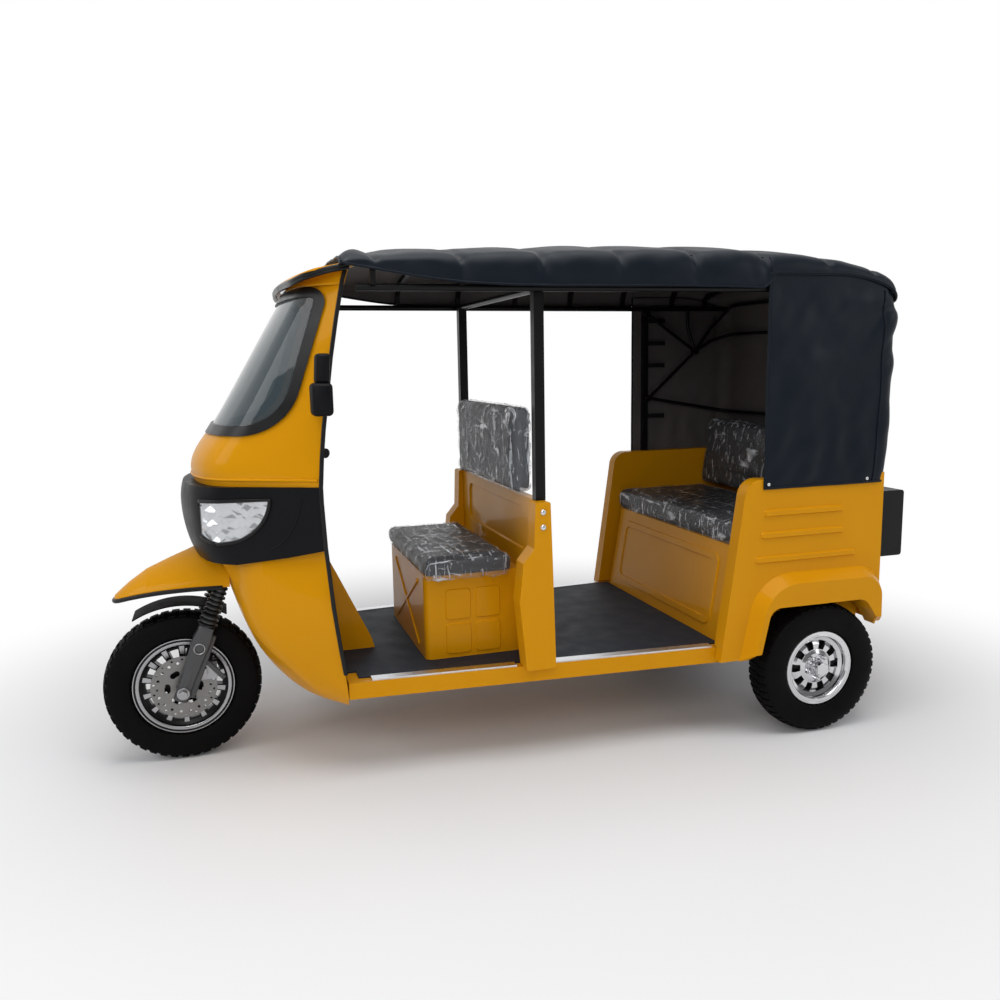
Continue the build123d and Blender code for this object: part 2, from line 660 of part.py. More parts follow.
chassis_rail_y = 220
rail_top = floor_top - 3
kick_top = 460
rear_frame_x = quarter_rear_x + 24
head_radius = stem_radius + 10
engine_rear_x = -864
spring_front_x = -712
spring_rear_x = rear_frame_x + 20
spring_eye_z = 345
with BuildPart() as chassis_frame:
    for side in (-1, 1):
        low_y, high_y = side * chassis_rail_y - 20, side * chassis_rail_y + 20
        with BuildSketch(Plane.XZ.offset(-high_y)) as rail_side:
            with BuildLine():
                Polyline((floor_front_x - 10, rail_top - 50), (floor_front_x - 10, rail_top), (-640, rail_top),
                         (-730, kick_top), (rear_frame_x, kick_top), (rear_frame_x, kick_top - 50),
                         (-700, kick_top - 50), (-610, rail_top - 50), close=True)
            make_face()
        extrude(amount=high_y - low_y)
    bent_tube([tuple(along_steering(760)), (800, 0, 500), (floor_front_x - 60, 0, rail_top - 20)], 25, 80)
    for x in (floor_front_x - 60, 380, 20, -330, -540):
        reach = floor_half(x + 20) - sheet - 1
        box_between((x - 20, -reach, rail_top - 40), (x + 20, reach, rail_top))
    for x in (engine_rear_x - fit_gap - 20, rear_frame_x + 20):
        box_between((x - 20, -chassis_rail_y, kick_top - 50), (x + 20, chassis_rail_y, kick_top))
    for x in (spring_front_x, spring_rear_x):
        for side in (-1, 1):
            inner, outer = sorted((side * chassis_rail_y, side * 345))
            box_between((x - 20, inner, kick_top - 50), (x + 20, outer, kick_top))
            box_between((x - 15, side * 325 - 15, spring_eye_z + 6 + fit_gap), (x + 15, side * 325 + 15, kick_top - 10))
    round_bar(along_steering(head_bottom), along_steering(head_top), head_radius)
    round_bar(along_steering(head_bottom - 20), along_steering(head_top + 20), stem_radius + fit_gap,
              mode=Mode.SUBTRACT)
chassis_frame.part.label = "chassis_frame"
export_step(chassis_frame.part, "parts/chassis_frame.step")

axle_radius = 32
with BuildPart() as rear_axle:
    reach = rear_track / 2 - drum_depth - 4
    round_bar((rear_axle_x, -reach, rear_tyre_radius), (rear_axle_x, reach, rear_tyre_radius), axle_radius)
    round_bar((rear_axle_x, -rear_track / 2 - 26, rear_tyre_radius), (rear_axle_x, rear_track / 2 + 26, rear_tyre_radius),
              spindle_radius)
    round_bar((rear_axle_x, -70, rear_tyre_radius), (rear_axle_x, 70, rear_tyre_radius), 85)
rear_axle.part.label = "rear_axle"
export_step(rear_axle.part, "parts/rear_axle.step")

spring_half = 30
with BuildPart() as leaf_springs:
    for side in (-1, 1):
        low_y = side * 325 - spring_half
        with BuildSketch(Plane.XZ.offset(-low_y - 2 * spring_half)) as leaf:
            with BuildLine():
                crown = rear_tyre_radius + axle_radius + fit_gap
                lower = ThreePointArc((spring_front_x, spring_eye_z), (rear_axle_x, crown),
                                      (spring_rear_x, spring_eye_z))
                upper = ThreePointArc((spring_front_x, spring_eye_z + 6), (rear_axle_x, crown + 28),
                                      (spring_rear_x, spring_eye_z + 6))
                Line(lower @ 0, upper @ 0)
                Line(lower @ 1, upper @ 1)
            make_face()
        extrude(amount=2 * spring_half)
leaf_springs.part.label = "leaf_springs"
export_step(leaf_springs.part, "parts/leaf_springs.step")

with BuildPart() as engine_block:
    box_between((engine_rear_x, -chassis_rail_y + 20 + fit_gap, 200), (-642, chassis_rail_y - 20 - fit_gap, 520))
engine_block.part.label = "engine_block"
export_step(engine_block.part, "parts/engine_block.step")

# Driver's place -------------------------------------------------------------------------------------------
seat_front_x = 432
seat_half = 307
seat_top = 643
partition_front = partition_x + partition_half
pad_size = (92, 110)
pad_rise = 4
pad_places = [(209, 535), (315, 535), (209, 413), (315, 413)]
box_corner = 25
with BuildPart() as seat_box:
    box_between((partition_front + fit_gap, -seat_half, mat_top), (seat_front_x, seat_half, seat_top))
    fillet(seat_box.edges().filter_by(Axis.Z).sort_by(Axis.X)[-2:], box_corner)
    with BuildSketch(Plane.XY.offset(mat_top - 1)):
        with Locations(((partition_front + seat_front_x + fit_gap) / 2, 0)):
            RectangleRounded(seat_front_x - partition_front - fit_gap - 2 * sheet, 2 * seat_half - 2 * sheet,
                             box_corner - sheet)
    extrude(amount=seat_top - sheet - mat_top + 1, mode=Mode.SUBTRACT)
    for side in (-1, 1):
        for pad_x, pad_z in pad_places:
            with BuildSketch(Plane(origin=(pad_x, side * (seat_half - 1), pad_z), x_dir=(1, 0, 0), z_dir=(0, side, 0))):
                RectangleRounded(*pad_size, 14)
            extrude(amount=pad_rise + 1, taper=35)
    for tilt in (-1, 1):
        with BuildSketch(Plane(origin=(seat_front_x - 1, 0, 490), x_dir=(0, 1, 0), z_dir=(1, 0, 0))):
            with Locations(Rotation(0, 0, tilt * 30)):
                SlotOverall(470, 16)
        extrude(amount=pad_rise + 2, taper=30)
seat_box.part.label = "seat_box"
export_step(seat_box.part, "parts/seat_box.step")

with BuildPart() as driver_cushion:
    box_between((partition_front + 35, -355, seat_top + fit_gap), (seat_front_x + 14, 355, seat_top + 62))
    fillet(driver_cushion.edges().filter_by(Axis.Z), 40)
    fillet(driver_cushion.faces().sort_by(Axis.Z)[-1].edges(), 18)
driver_cushion.part.label = "driver_cushion"
export_step(driver_cushion.part, "parts/driver_cushion.step")

partition_low = floor_top + fit_gap
pillar_half = 52
pillar_y = 483
pillar_reach = 35
pillar_outline = [(partition_x - 35, partition_low), (partition_x - 26, 706), (partition_x - 20, partition_top),
                  (partition_x + 32, partition_top), (partition_x + 38, 752), (partition_x + 76, 706),
                  (partition_x + 90, 576), (partition_x + 68, partition_low)]
with BuildPart() as partition:
    box_between((partition_x - partition_half, -pillar_half - 400, partition_low),
                (partition_x + partition_half, pillar_half + 400, partition_top))
    for side in (-1, 1):
        across(side_face(pillar_outline, 8), side * pillar_y - pillar_reach, side * pillar_y + pillar_reach)
    for face_x, way in ((partition_x + partition_half, -1), (partition_x - partition_half, 1)):
        with BuildSketch(Plane(origin=(face_x, 0, 790), x_dir=(0, 1, 0), z_dir=(way, 0, 0))):
            RectangleRounded(700, 150, 36)
        extrude(amount=7, taper=30, mode=Mode.SUBTRACT)
partition.part.label = "partition"
export_step(partition.part, "parts/partition.step")

with BuildPart() as driver_backrest:
    box_between((partition_x - 10, -390, partition_top + fit_gap), (partition_x + 60, 390, 1222))
    fillet(driver_backrest.edges().filter_by(Axis.X), 60)
    fillet(driver_backrest.faces().sort_by(Axis.X)[-1].edges(), 20)
driver_backrest.part.label = "driver_backrest"
export_step(driver_backrest.part, "parts/driver_backrest.step")

# Bench ----------------------------------------------------------------------------------------------------
bench_rear_x = quarter_rear_x + 14
bench_slant = 58
bench_press = (800, 270)
with BuildPart() as bench_box:
    bench_low = floor_top + fit_gap
    outline = [(bench_front_x, bench_low), (bench_front_x - bench_slant, bench_top_z), (bench_rear_x, bench_top_z),
               (bench_rear_x, bench_low)]
    across(side_face(outline), -bench_half_y, bench_half_y)
    hollow = [(bench_front_x - sheet, bench_low - 1), (bench_front_x - bench_slant - sheet, bench_top_z - sheet),
              (bench_rear_x + sheet, bench_top_z - sheet), (bench_rear_x + sheet, bench_low - 1)]
    across(side_face(hollow), -bench_half_y + sheet, bench_half_y - sheet, mode=Mode.SUBTRACT)
    bench_face = Vector(bench_top_z - bench_low, 0, bench_slant).normalized()
    bench_middle = Vector(bench_front_x - bench_slant / 2, 0, (bench_low + bench_top_z) / 2)
    with BuildSketch(Plane(origin=bench_middle - bench_face, x_dir=(0, 1, 0), z_dir=bench_face)):
        RectangleRounded(*bench_press, 40)
        RectangleRounded(bench_press[0] - 56, bench_press[1] - 56, 26, mode=Mode.SUBTRACT)
    extrude(amount=6, taper=25)
bench_box.part.label = "bench_box"
export_step(bench_box.part, "parts/bench_box.step")

with BuildPart() as bench_cushion:
    box_between((-1120, -quarter_inner_y + 2, bench_top_z + fit_gap), (-652, quarter_inner_y - 2, bench_top_z + 90))
    fillet(bench_cushion.edges().filter_by(Axis.Z), 30)
    fillet(bench_cushion.faces().sort_by(Axis.Z)[-1].edges(), 22)
bench_cushion.part.label = "bench_cushion"
export_step(bench_cushion.part, "parts/bench_cushion.step")

back_low = bench_top_z + 90 + fit_gap
back_outline = [(-1075, back_low), (-1125, 1090), (-1205, 1090), (-1195, back_low)]
with BuildPart() as bench_backrest:
    across(side_face(back_outline, 20), -quarter_inner_y + 2, quarter_inner_y - 2)
bench_backrest.part.label = "bench_backrest"
export_step(bench_backrest.part, "parts/bench_backrest.step")

# Quarter panels -------------------------------------------------------------------------------------------
quarter_outline = [(-565, 298), (-657, quarter_top), (quarter_rear_x, quarter_top), (quarter_rear_x, 400),
                   (-1180, 298)]
quarter_cavity = [(-571, 280), (-663, quarter_top - sheet), (quarter_rear_x + sheet, quarter_top - sheet),
                  (quarter_rear_x + sheet, 400), (-1180, 280)]
flare_outline = [(-640, 294), (-708, 604), (-1232, 600), (-1236, 382), (-1150, 382), (-1000, 294)]
flare_front_radius = 170
flare_rear_radius = 110
arch_outline = [(-672, 200), (-738, 489), (-1130, 487), (-1205, 380), (-1240, 200)]
arch_corner = 50
arch_radius = rear_tyre_radius + 46
arch_liner = rear_tyre_radius + 52
# Pressed swages on the side: height, front end, rear end.
swages = [(820, -724, -1054), (742, -714, -1059), (655, -694, -1114)]
swage_half = 13
swage_rise = 8
for name, side in (("left", 1), ("right", -1)):
    inner_y = side * quarter_inner_y
    outer_y = side * quarter_half_y
    flare_y = side * fender_half_y
    with BuildPart() as quarter_panel:
        with BuildSketch(Plane.XZ, mode=Mode.PRIVATE) as skin:
            with BuildLine():
                Polyline(*quarter_outline, close=True)
            make_face()
            fillet(skin.vertices().group_by(Axis.Y)[-1].sort_by(Axis.X)[-1], quarter_shoulder)
        across(skin.sketch, min(inner_y, outer_y), max(inner_y, outer_y))
        cavity_low = quarter_inner_y + sheet
        cavity_high = quarter_half_y - sheet
        with BuildPart(mode=Mode.PRIVATE) as cavity:
            across(side_face(quarter_cavity, 20), min(side * cavity_low, side * cavity_high),
                   max(side * cavity_low, side * cavity_high))
            round_bar((rear_axle_x, side * 400, rear_tyre_radius), (rear_axle_x, side * 700, rear_tyre_radius),
                      arch_liner, mode=Mode.SUBTRACT)
        add(cavity.part, mode=Mode.SUBTRACT)
        with BuildSketch(Plane.XZ, mode=Mode.PRIVATE) as flare:
            with BuildLine():
                Polyline(*flare_outline, close=True)
            make_face()
            fillet(flare.vertices().group_by(Axis.Y)[-1], flare_front_radius)
            fillet(flare.vertices().filter_by(lambda corner: abs(corner.X - flare_outline[2][0]) < 0.5).sort_by(Axis.Y)[-1],
                   flare_rear_radius)
        extrude(flare.sketch.moved(Location((0, outer_y - side, 0))), amount=abs(flare_y - outer_y) + 1, dir=(0, side, 0), taper=34)
        round_bar((rear_axle_x, side * 400, rear_tyre_radius), (rear_axle_x, side * 604, rear_tyre_radius), arch_radius,
                  mode=Mode.SUBTRACT)
        across(side_face(arch_outline, arch_corner), min(side * 400, side * 700), max(side * 400, side * 700),
               mode=Mode.SUBTRACT)
        for swage_z, swage_front, swage_rear in swages:
            swage_face = side_face([(swage_front, swage_z - swage_half), (swage_front, swage_z + swage_half),
                                    (swage_rear, swage_z + swage_half), (swage_rear, swage_z - swage_half)], 9)
            extrude(swage_face.moved(Location((0, outer_y - side, 0))), amount=swage_rise + 1, dir=(0, side, 0), taper=30)
        box_between((floor_rear_x - fit_gap, -floor_rear_half - 1, 200), (-500, floor_rear_half + 1, mat_top + fit_gap),
                    mode=Mode.SUBTRACT)
    quarter_panel.part.label = f"quarter_panel_{name}"
    export_step(quarter_panel.part, f"parts/quarter_panel_{name}.step")

with BuildPart() as rear_panel:
    box_between((quarter_rear_x - sheet, -quarter_half_y + 30, 380), (quarter_rear_x - fit_gap, quarter_half_y - 30, curtain_bottom + 5))
rear_panel.part.label = "rear_panel"
export_step(rear_panel.part, "parts/rear_panel.step")

with BuildPart() as tail_lamps:
    for side in (-1, 1):
        box_between((quarter_rear_x - 30, side * 480 - 35, 560), (quarter_rear_x - sheet - fit_gap, side * 480 + 35, 700))
tail_lamps.part.label = "tail_lamps"
export_step(tail_lamps.part, "parts/tail_lamps.step")

with BuildPart() as rear_box:
    box_between((-1500, -360, 570), (quarter_rear_x - sheet - fit_gap, 360, 832))
    fillet(rear_box.edges().filter_by(Axis.Y), 12)
rear_box.part.label = "rear_box"
export_step(rear_box.part, "parts/rear_box.step")

# Canopy and its frame -------------------------------------------------------------------------------------
roof_front_half = 508
roof_rear_half = 571
roof_taper_x = -710
shoulder_inset = 36
skirt = 45
bow_band = 16
bow_gap = 3
rail_inset = 26
# Each row: place, crown height, shoulder height, hem height. The inner rows also carry the bows.
canopy_rows = [(canopy_front_x, 1716, 1668, 1618), (600, 1722, 1673, 1614), (330, 1738, 1686, 1602),
               (partition_x, 1745, 1692, 1592), (-190, 1754, 1696, 1588), (-450, 1764, 1702, 1586),
               (roof_taper_x, 1758, 1698, 1586), (-960, 1738, 1684, 1586), (-1130, 1704, 1658, 1586),
               (-1210, 1676, 1640, 1586), (canopy_rear_x, 1640, 1622, 1586)]


def roof_half(x):
    """Half width of the canopy at a place along the body."""
    share = (x - roof_taper_x) / (canopy_front_x - roof_taper_x)
    return roof_rear_half + max(share, 0) * (roof_front_half - roof_rear_half)


def canopy_outline(row, inset=0, drop=0):
    """Arched roof with round shoulders and an upright skirt on each side."""
    x, crown, shoulder, hem = row
    half = roof_half(x) - inset
    shoulder_y = half - shoulder_inset
    with BuildSketch(Plane(origin=(x, 0, 0), x_dir=(0, 1, 0), z_dir=(1, 0, 0)), mode=Mode.PRIVATE) as outline:
        with BuildLine():
            ThreePointArc((-shoulder_y, shoulder - inset), (0, crown - inset), (shoulder_y, shoulder - inset))
            Polyline((shoulder_y, shoulder - inset), (half, hem + skirt - inset / 2), (half, hem - drop),
                     (-half, hem - drop), (-half, hem + skirt - inset / 2), (-shoulder_y, shoulder - inset))
        make_face()
    return outline.sketch


with BuildPart() as canopy_roof:
    loft([canopy_outline(row) for row in canopy_rows])
    loft([canopy_outline(row, sheet, 1) for row in canopy_rows], mode=Mode.SUBTRACT)
canopy_roof.part.label = "canopy_roof"
export_step(canopy_roof.part, "parts/canopy_roof.step")

with BuildPart() as roof_frame:
    for row in canopy_rows[1:-2]:
        leg_drop = row[3] - rail_z
        outer = canopy_outline(row, sheet + bow_gap, leg_drop)
        inner = canopy_outline(row, sheet + bow_gap + bow_band, leg_drop + 10)
        extrude(outer, amount=bow_band / 2, both=True)
        extrude(inner, amount=bow_band, both=True, mode=Mode.SUBTRACT)
    box_between((-2000, -600, 1000), (2000, 600, rail_z + rail_radius / 2), mode=Mode.SUBTRACT)
    for side in (-1, 1):
        bent_tube([(650, side * (roof_half(650) - rail_inset), rail_z),
                   (roof_taper_x, side * (roof_rear_half - rail_inset), rail_z),
                   (canopy_rear_x + 20, side * (roof_rear_half - rail_inset), rail_z)], rail_radius, 200)
    round_bar((partition_x, -roof_half(partition_x) + rail_inset, rail_z),
              (partition_x, roof_half(partition_x) - rail_inset, rail_z), rail_radius)
roof_frame.part.label = "roof_frame"
export_step(roof_frame.part, "parts/roof_frame.step")

with BuildPart() as centre_posts:
    for side in (-1, 1):
        post_y = side * post_half_y
        box_between((partition_x - post_width / 2, post_y - post_width / 2, partition_top),
                    (partition_x + post_width / 2, post_y + post_width / 2, rail_z))
    round_bar((partition_x, -600, rail_z), (partition_x, 600, rail_z), rail_radius + fit_gap, mode=Mode.SUBTRACT)
centre_posts.part.label = "centre_posts"
export_step(centre_posts.part, "parts/centre_posts.step")

rear_post_x = -820
rear_post_y = quarter_half_y - 13
with BuildPart() as rear_posts:
    for side in (-1, 1):
        post_y = side * rear_post_y
        box_between((rear_post_x - 12, post_y - 12, quarter_top + fit_gap), (rear_post_x + 12, post_y + 12, rail_z))
        rail_y = side * (roof_rear_half - rail_inset)
        round_bar((rear_post_x - 50, rail_y, rail_z), (rear_post_x + 50, rail_y, rail_z), rail_radius + fit_gap,
                  mode=Mode.SUBTRACT)
        box_between((rear_post_x - 50, -600, rail_z - 3), (rear_post_x + 50, 600, rail_z + 1), mode=Mode.SUBTRACT)
rear_posts.part.label = "rear_posts"
export_step(rear_posts.part, "parts/rear_posts.step")

# The folding hood's irons hang from a pivot on each rear post.
hood_y = 525
hood_pivot = (-829, 1182)
hood_hub = (-1066, 1392)
hood_bar = 7
hood_rear_x = -1234
with BuildPart() as hood_irons:
    for side in (-1, 1):
        hub = (hood_hub[0], side * hood_y, hood_hub[1])
        pivot = (hood_pivot[0], side * hood_y, hood_pivot[1])
        round_bar(pivot, hub, hood_bar)
        round_bar((rear_post_x, side * hood_y, rail_z - 24), hub, hood_bar)
        bent_tube([hub, (-1026, side * hood_y, 1500), (-1026, side * hood_y, 1582)], hood_bar, 60)
        round_bar((pivot[0], side * (hood_y - 10), pivot[2]), (pivot[0], side * (rear_post_y - 12 - fit_gap), pivot[2]), 13)
        round_bar((rear_post_x, side * (hood_y - 10), rail_z - 24),
                  (rear_post_x, side * (rear_post_y - 12 - fit_gap), rail_z - 24), 13)
        round_bar((hub[0], side * (hood_y - 12), hub[2]), (hub[0], side * (hood_y + 12), hub[2]), 15)
    for mid_z, rear_z in ((1500, 1596), (1440, 1466)):
        bent_tube([(hood_hub[0], -hood_y, hood_hub[1]), (-1150, -hood_y, mid_z), (hood_rear_x, -hood_y + 30, rear_z),
                   (hood_rear_x, hood_y - 30, rear_z), (-1150, hood_y, mid_z), (hood_hub[0], hood_y, hood_hub[1])],
                  hood_bar, 40)
    bent_tube([(hood_pivot[0], -hood_y, hood_pivot[1]), (hood_rear_x, -hood_y, 1112), (hood_rear_x, hood_y, 1112),
               (hood_pivot[0], hood_y, hood_pivot[1])], hood_bar, 60)
hood_irons.part.label = "hood_irons"
export_step(hood_irons.part, "parts/hood_irons.step")

curtain_low = 912
curtain_rear_low_x = quarter_rear_x - sheet - 2 * fit_gap
curtain_rear_high_x = canopy_rear_x - fit_gap
curtain_knee_z = 1440
curtain_top = 1588
for name, side in (("left", 1), ("right", -1)):
    with BuildPart() as side_curtain:
        curtain = [(-722, curtain_low), (-717, curtain_top), (curtain_rear_high_x + 1, curtain_top),
                   (curtain_rear_high_x + 1, curtain_knee_z), (curtain_rear_low_x + 1, curtain_low)]
        low_y, high_y = sorted((side * (quarter_half_y + fit_gap), side * (quarter_half_y + fit_gap + sheet)))
        across(side_face(curtain), low_y, high_y)
    side_curtain.part.label = f"side_curtain_{name}"
    export_step(side_curtain.part, f"parts/side_curtain_{name}.step")

with BuildPart() as rear_curtain:
    front_edge = [(curtain_rear_low_x, curtain_low), (curtain_rear_high_x, curtain_knee_z), (curtain_rear_high_x, 1700)]
    rear_edge = [(x - sheet, z) for x, z in reversed(front_edge)]
    across(side_face(front_edge + rear_edge), -quarter_half_y - sheet, quarter_half_y + sheet)
    with BuildPart(mode=Mode.PRIVATE) as back_outline_block:
        extrude(canopy_outline(canopy_rows[-1]), amount=80, both=True)
        box_between((-1400, -quarter_half_y - sheet, 800), (-1100, quarter_half_y + sheet, 1600))
    add(back_outline_block.part, mode=Mode.INTERSECT)
rear_curtain.part.label = "rear_curtain"
export_step(rear_curtain.part, "parts/rear_curtain.step")
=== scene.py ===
from math import atan2, cos, exp, pi, radians, sin, sqrt, tau

import bmesh
import bpy
from mathutils import Matrix, Vector, noise
from mathutils.bvhtree import BVHTree


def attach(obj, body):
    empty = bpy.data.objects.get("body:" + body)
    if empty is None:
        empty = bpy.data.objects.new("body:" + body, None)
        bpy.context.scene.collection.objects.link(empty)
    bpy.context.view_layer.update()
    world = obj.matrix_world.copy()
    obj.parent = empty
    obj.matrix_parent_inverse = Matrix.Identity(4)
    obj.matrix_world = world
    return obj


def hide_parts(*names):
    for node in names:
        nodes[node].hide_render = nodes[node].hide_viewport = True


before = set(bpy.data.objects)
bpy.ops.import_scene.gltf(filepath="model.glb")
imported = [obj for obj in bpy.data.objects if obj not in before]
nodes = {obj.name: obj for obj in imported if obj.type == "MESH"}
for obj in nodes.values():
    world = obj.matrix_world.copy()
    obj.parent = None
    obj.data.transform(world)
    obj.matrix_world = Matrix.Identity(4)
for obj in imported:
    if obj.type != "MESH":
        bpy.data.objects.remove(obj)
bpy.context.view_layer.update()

# Camera ----------------------------------------
# The view is from the near side, level with the head of a person standing by, a little ahead of the middle
# of the vehicle and turned back towards it.
yaw, pitch, roll = -1.8737, -0.1539, -0.0178
view = Vector((cos(yaw) * cos(pitch), sin(yaw) * cos(pitch), sin(pitch)))
level = view.cross(Vector((0, 0, 1))).normalized()
rise = level.cross(view)
camera_right = cos(roll) * level + sin(roll) * rise
camera_up = cos(roll) * rise - sin(roll) * level
camera = bpy.data.objects.new("camera", bpy.data.cameras.new("camera"))
bpy.context.collection.objects.link(camera)
camera.data.lens = 31.913
camera.matrix_world = Matrix.Translation((1.0570, 3.1883, 1.3561)) @ Matrix(
    (camera_right, camera_up, -view)).transposed().to_4x4()
bpy.context.scene.camera = camera
bpy.context.scene.view_settings.view_transform = "Standard"

# Studio ----------------------------------------
# A white sweep: soft boxes over and before the vehicle, and a floor that fades to white away from it. The eye
# and glass meet a white room; polished metal meets it too, darker towards the near side, as in a real studio.
def wire(tree, node, sockets):
    """Set a node's sockets to values, or feed them from other nodes' outputs."""
    for socket, value in sockets.items():
        if isinstance(value, bpy.types.NodeSocket):
            tree.links.new(value, node.inputs[socket])
        else:
            node.inputs[socket].default_value = value
    return node


def add(tree, kind, sockets=None, operation=None):
    """New shader node with its sockets set or fed."""
    node = tree.nodes.new(f"ShaderNode{kind}")
    if operation:
        node.operation = operation
    return wire(tree, node, sockets or {})


def largest(tree, first, second):
    """The larger of two outputs."""
    return add(tree, "Math", {0: first, 1: second}, "MAXIMUM").outputs[0]


world = bpy.data.worlds.new("studio")
bpy.context.scene.world = world
world.use_nodes = True
tree = world.node_tree
tree.nodes.clear()
rays = add(tree, "LightPath").outputs
across = add(tree, "SeparateXYZ", {0: add(tree, "TexCoord").outputs["Generated"]}).outputs["Y"]
sweep = add(tree, "MapRange", {"Value": across, "From Min": 0.30, "From Max": -0.25, "To Min": 0.18})
room = add(tree, "Background", {"Color": (0.86, 0.89, 0.94, 1), "Strength": 0.28})
mirrored = add(tree, "Background", {"Color": sweep.outputs["Result"]})
white = add(tree, "Background", {"Color": (1, 1, 1, 1), "Strength": 1.0})
seen = largest(tree, rays["Is Camera Ray"], rays["Is Transmission Ray"])
unseen_room = add(tree, "MixShader", {"Fac": rays["Is Glossy Ray"], 1: room.outputs[0], 2: mirrored.outputs[0]})
whole = add(tree, "MixShader", {"Fac": seen, 1: unseen_room.outputs[0], 2: white.outputs[0]})
add(tree, "OutputWorld", {"Surface": whole.outputs[0]})

for name, place, aim, size, power in (
        ("soft_box_top", (0.2, 0.9, 4.4), (0, 0, 0.6), 3.6, 125),
        ("soft_box_side", (1.9, 4.4, 2.8), (0, 0, 0.7), 2.2, 52),
        ("soft_box_front", (4.4, 0.8, 2.4), (0.4, 0, 0.8), 1.8, 34),
        ("soft_box_rear", (-3.6, 2.6, 2.6), (-0.6, 0, 0.8), 1.8, 30)):
    light = bpy.data.objects.new(name, bpy.data.lights.new(name, "AREA"))
    bpy.context.collection.objects.link(light)
    light.data.size = size
    light.data.energy = power
    light.matrix_world = Matrix.Translation(place) @ (Vector(aim) - Vector(place)).to_track_quat(
        "-Z", "Y").to_matrix().to_4x4()


def shader_tree(name):
    """New material with its principled shader, the object coordinates and its node tree."""
    material = bpy.data.materials.new(name)
    material.use_nodes = True
    tree = material.node_tree
    coords = tree.nodes.new("ShaderNodeTexCoord").outputs["Object"]
    return material, tree, tree.nodes["Principled BSDF"], coords


floor_paint, tree, shader, coords = shader_tree("studio_floor")
wire(tree, shader, {"Base Color": (0.86, 0.86, 0.86, 1), "Roughness": 0.6, "Specular IOR Level": 0.2})
distance = add(tree, "VectorMath", {0: coords}, "LENGTH").outputs["Value"]
fade = add(tree, "MapRange", {"Value": distance, "From Min": 1.3, "From Max": 2.9})
fade.interpolation_type = "SMOOTHSTEP"
rays = add(tree, "LightPath").outputs
seen = largest(tree, largest(tree, rays["Is Camera Ray"], rays["Is Transmission Ray"]), rays["Is Glossy Ray"])
share = add(tree, "Math", {0: fade.outputs["Result"], 1: seen}, "MULTIPLY")
glow = add(tree, "Emission", {"Color": (1, 1, 1, 1)})
mixed = add(tree, "MixShader", {"Fac": share.outputs[0], 1: shader.outputs[0], 2: glow.outputs[0]})
wire(tree, tree.nodes["Material Output"], {"Surface": mixed.outputs[0]})
shape = bmesh.new()
bmesh.ops.create_grid(shape, x_segments=1, y_segments=1, size=20)
studio_floor = bpy.data.objects.new("studio_floor", bpy.data.meshes.new("studio_floor"))
shape.to_mesh(studio_floor.data)
shape.free()
studio_floor.data.materials.append(floor_paint)
bpy.context.collection.objects.link(studio_floor)


# Nose, roof cap and body panels ----------------
# Pressed steel sheet, primed and sprayed amber yellow with a clear coat, spot welded at the flanges.
# Every panel of the cab and the passenger body takes the same paint.
def link_bump(tree, shader, height, distance, strength, socket="Normal"):
    """Bump from a height output into one of the shader's normals."""
    bump = add(tree, "Bump", {"Height": height, "Distance": distance, "Strength": strength})
    wire(tree, shader, {socket: bump.outputs["Normal"]})


def noise_height(tree, coords, scale, detail=3, stretch=(1, 1, 1)):
    """Noise output read on the object's coordinates."""
    place = add(tree, "Mapping", {"Vector": coords, "Scale": stretch})
    return add(tree, "TexNoise", {"Vector": place.outputs[0], "Scale": scale, "Detail": detail}).outputs["Fac"]


def tint(tree, shader, height, low, high, socket="Base Color"):
    """Colour or value between two ends by a height output."""
    if isinstance(low, float):
        ends = {"From Min": 0.3, "From Max": 0.7, "To Min": low, "To Max": high}
        ramp = add(tree, "MapRange", {"Value": height, **ends})
    else:
        ramp = add(tree, "Mix")
        ramp.data_type = "RGBA"
        wire(tree, ramp, {"Factor": height, "A": (*low, 1), "B": (*high, 1)})
    wire(tree, shader, {socket: ramp.outputs["Result"]})


def finish(material, *names):
    """Give CAD nodes one material."""
    for name in names:
        for place in nodes[name].material_slots:
            place.material = material
        if not nodes[name].material_slots:
            nodes[name].data.materials.append(material)


body_paint, tree, shader, coords = shader_tree("amber_body_paint")
wire(tree, shader, {"Coat Weight": 0.14, "Coat Roughness": 0.05, "Specular IOR Level": 0.10,
                    "Specular Tint": (1, 0.60, 0.10, 1)})
tint(tree, shader, noise_height(tree, coords, 2.2, 4), (0.62, 0.262, 0.0028), (0.70, 0.305, 0.0040))
tint(tree, shader, noise_height(tree, coords, 6, 4), 0.34, 0.44, "Roughness")
link_bump(tree, shader, noise_height(tree, coords, 320, 2), 0.0004, 0.10)
link_bump(tree, shader, noise_height(tree, coords, 9, 2), 0.004, 0.10, "Coat Normal")
finish(body_paint, "nose_upper", "nose_lower", "beak_mudguard", "floor_pan", "partition", "seat_box",
       "bench_box", "quarter_panel_left", "quarter_panel_right", "rear_panel", "steering_housing")


# Windscreen ------------------------------------
# A laminated pane held in a thick moulded rubber section that is worked over the edge of the opening.
# The pane takes the sky softly and shows the cab only faintly through it: its dark blue-grey tint, two thirds
# opaque face-on and nearly opaque at a slant, is painted shade of the cab behind it.
def plain_finish(name, colour, roughness, metallic=0.0, grain=0, grain_depth=0.0002, wear=0.06, coat=0.0,
                 gloss=0.5):
    """Material of one colour with a slightly uneven gloss and a fine grain."""
    material, tree, shader, coords = shader_tree(name)
    lighter = tuple(min(1, channel * 1.35 + 0.002) for channel in colour)
    tint(tree, shader, noise_height(tree, coords, 5, 5), colour, lighter)
    wire(tree, shader, {"Metallic": metallic, "Coat Weight": coat, "Specular IOR Level": gloss})
    tint(tree, shader, noise_height(tree, coords, 14, 5), roughness - wear, roughness + wear, "Roughness")
    if grain:
        link_bump(tree, shader, noise_height(tree, coords, grain, 3), grain_depth, 0.5)
    return material


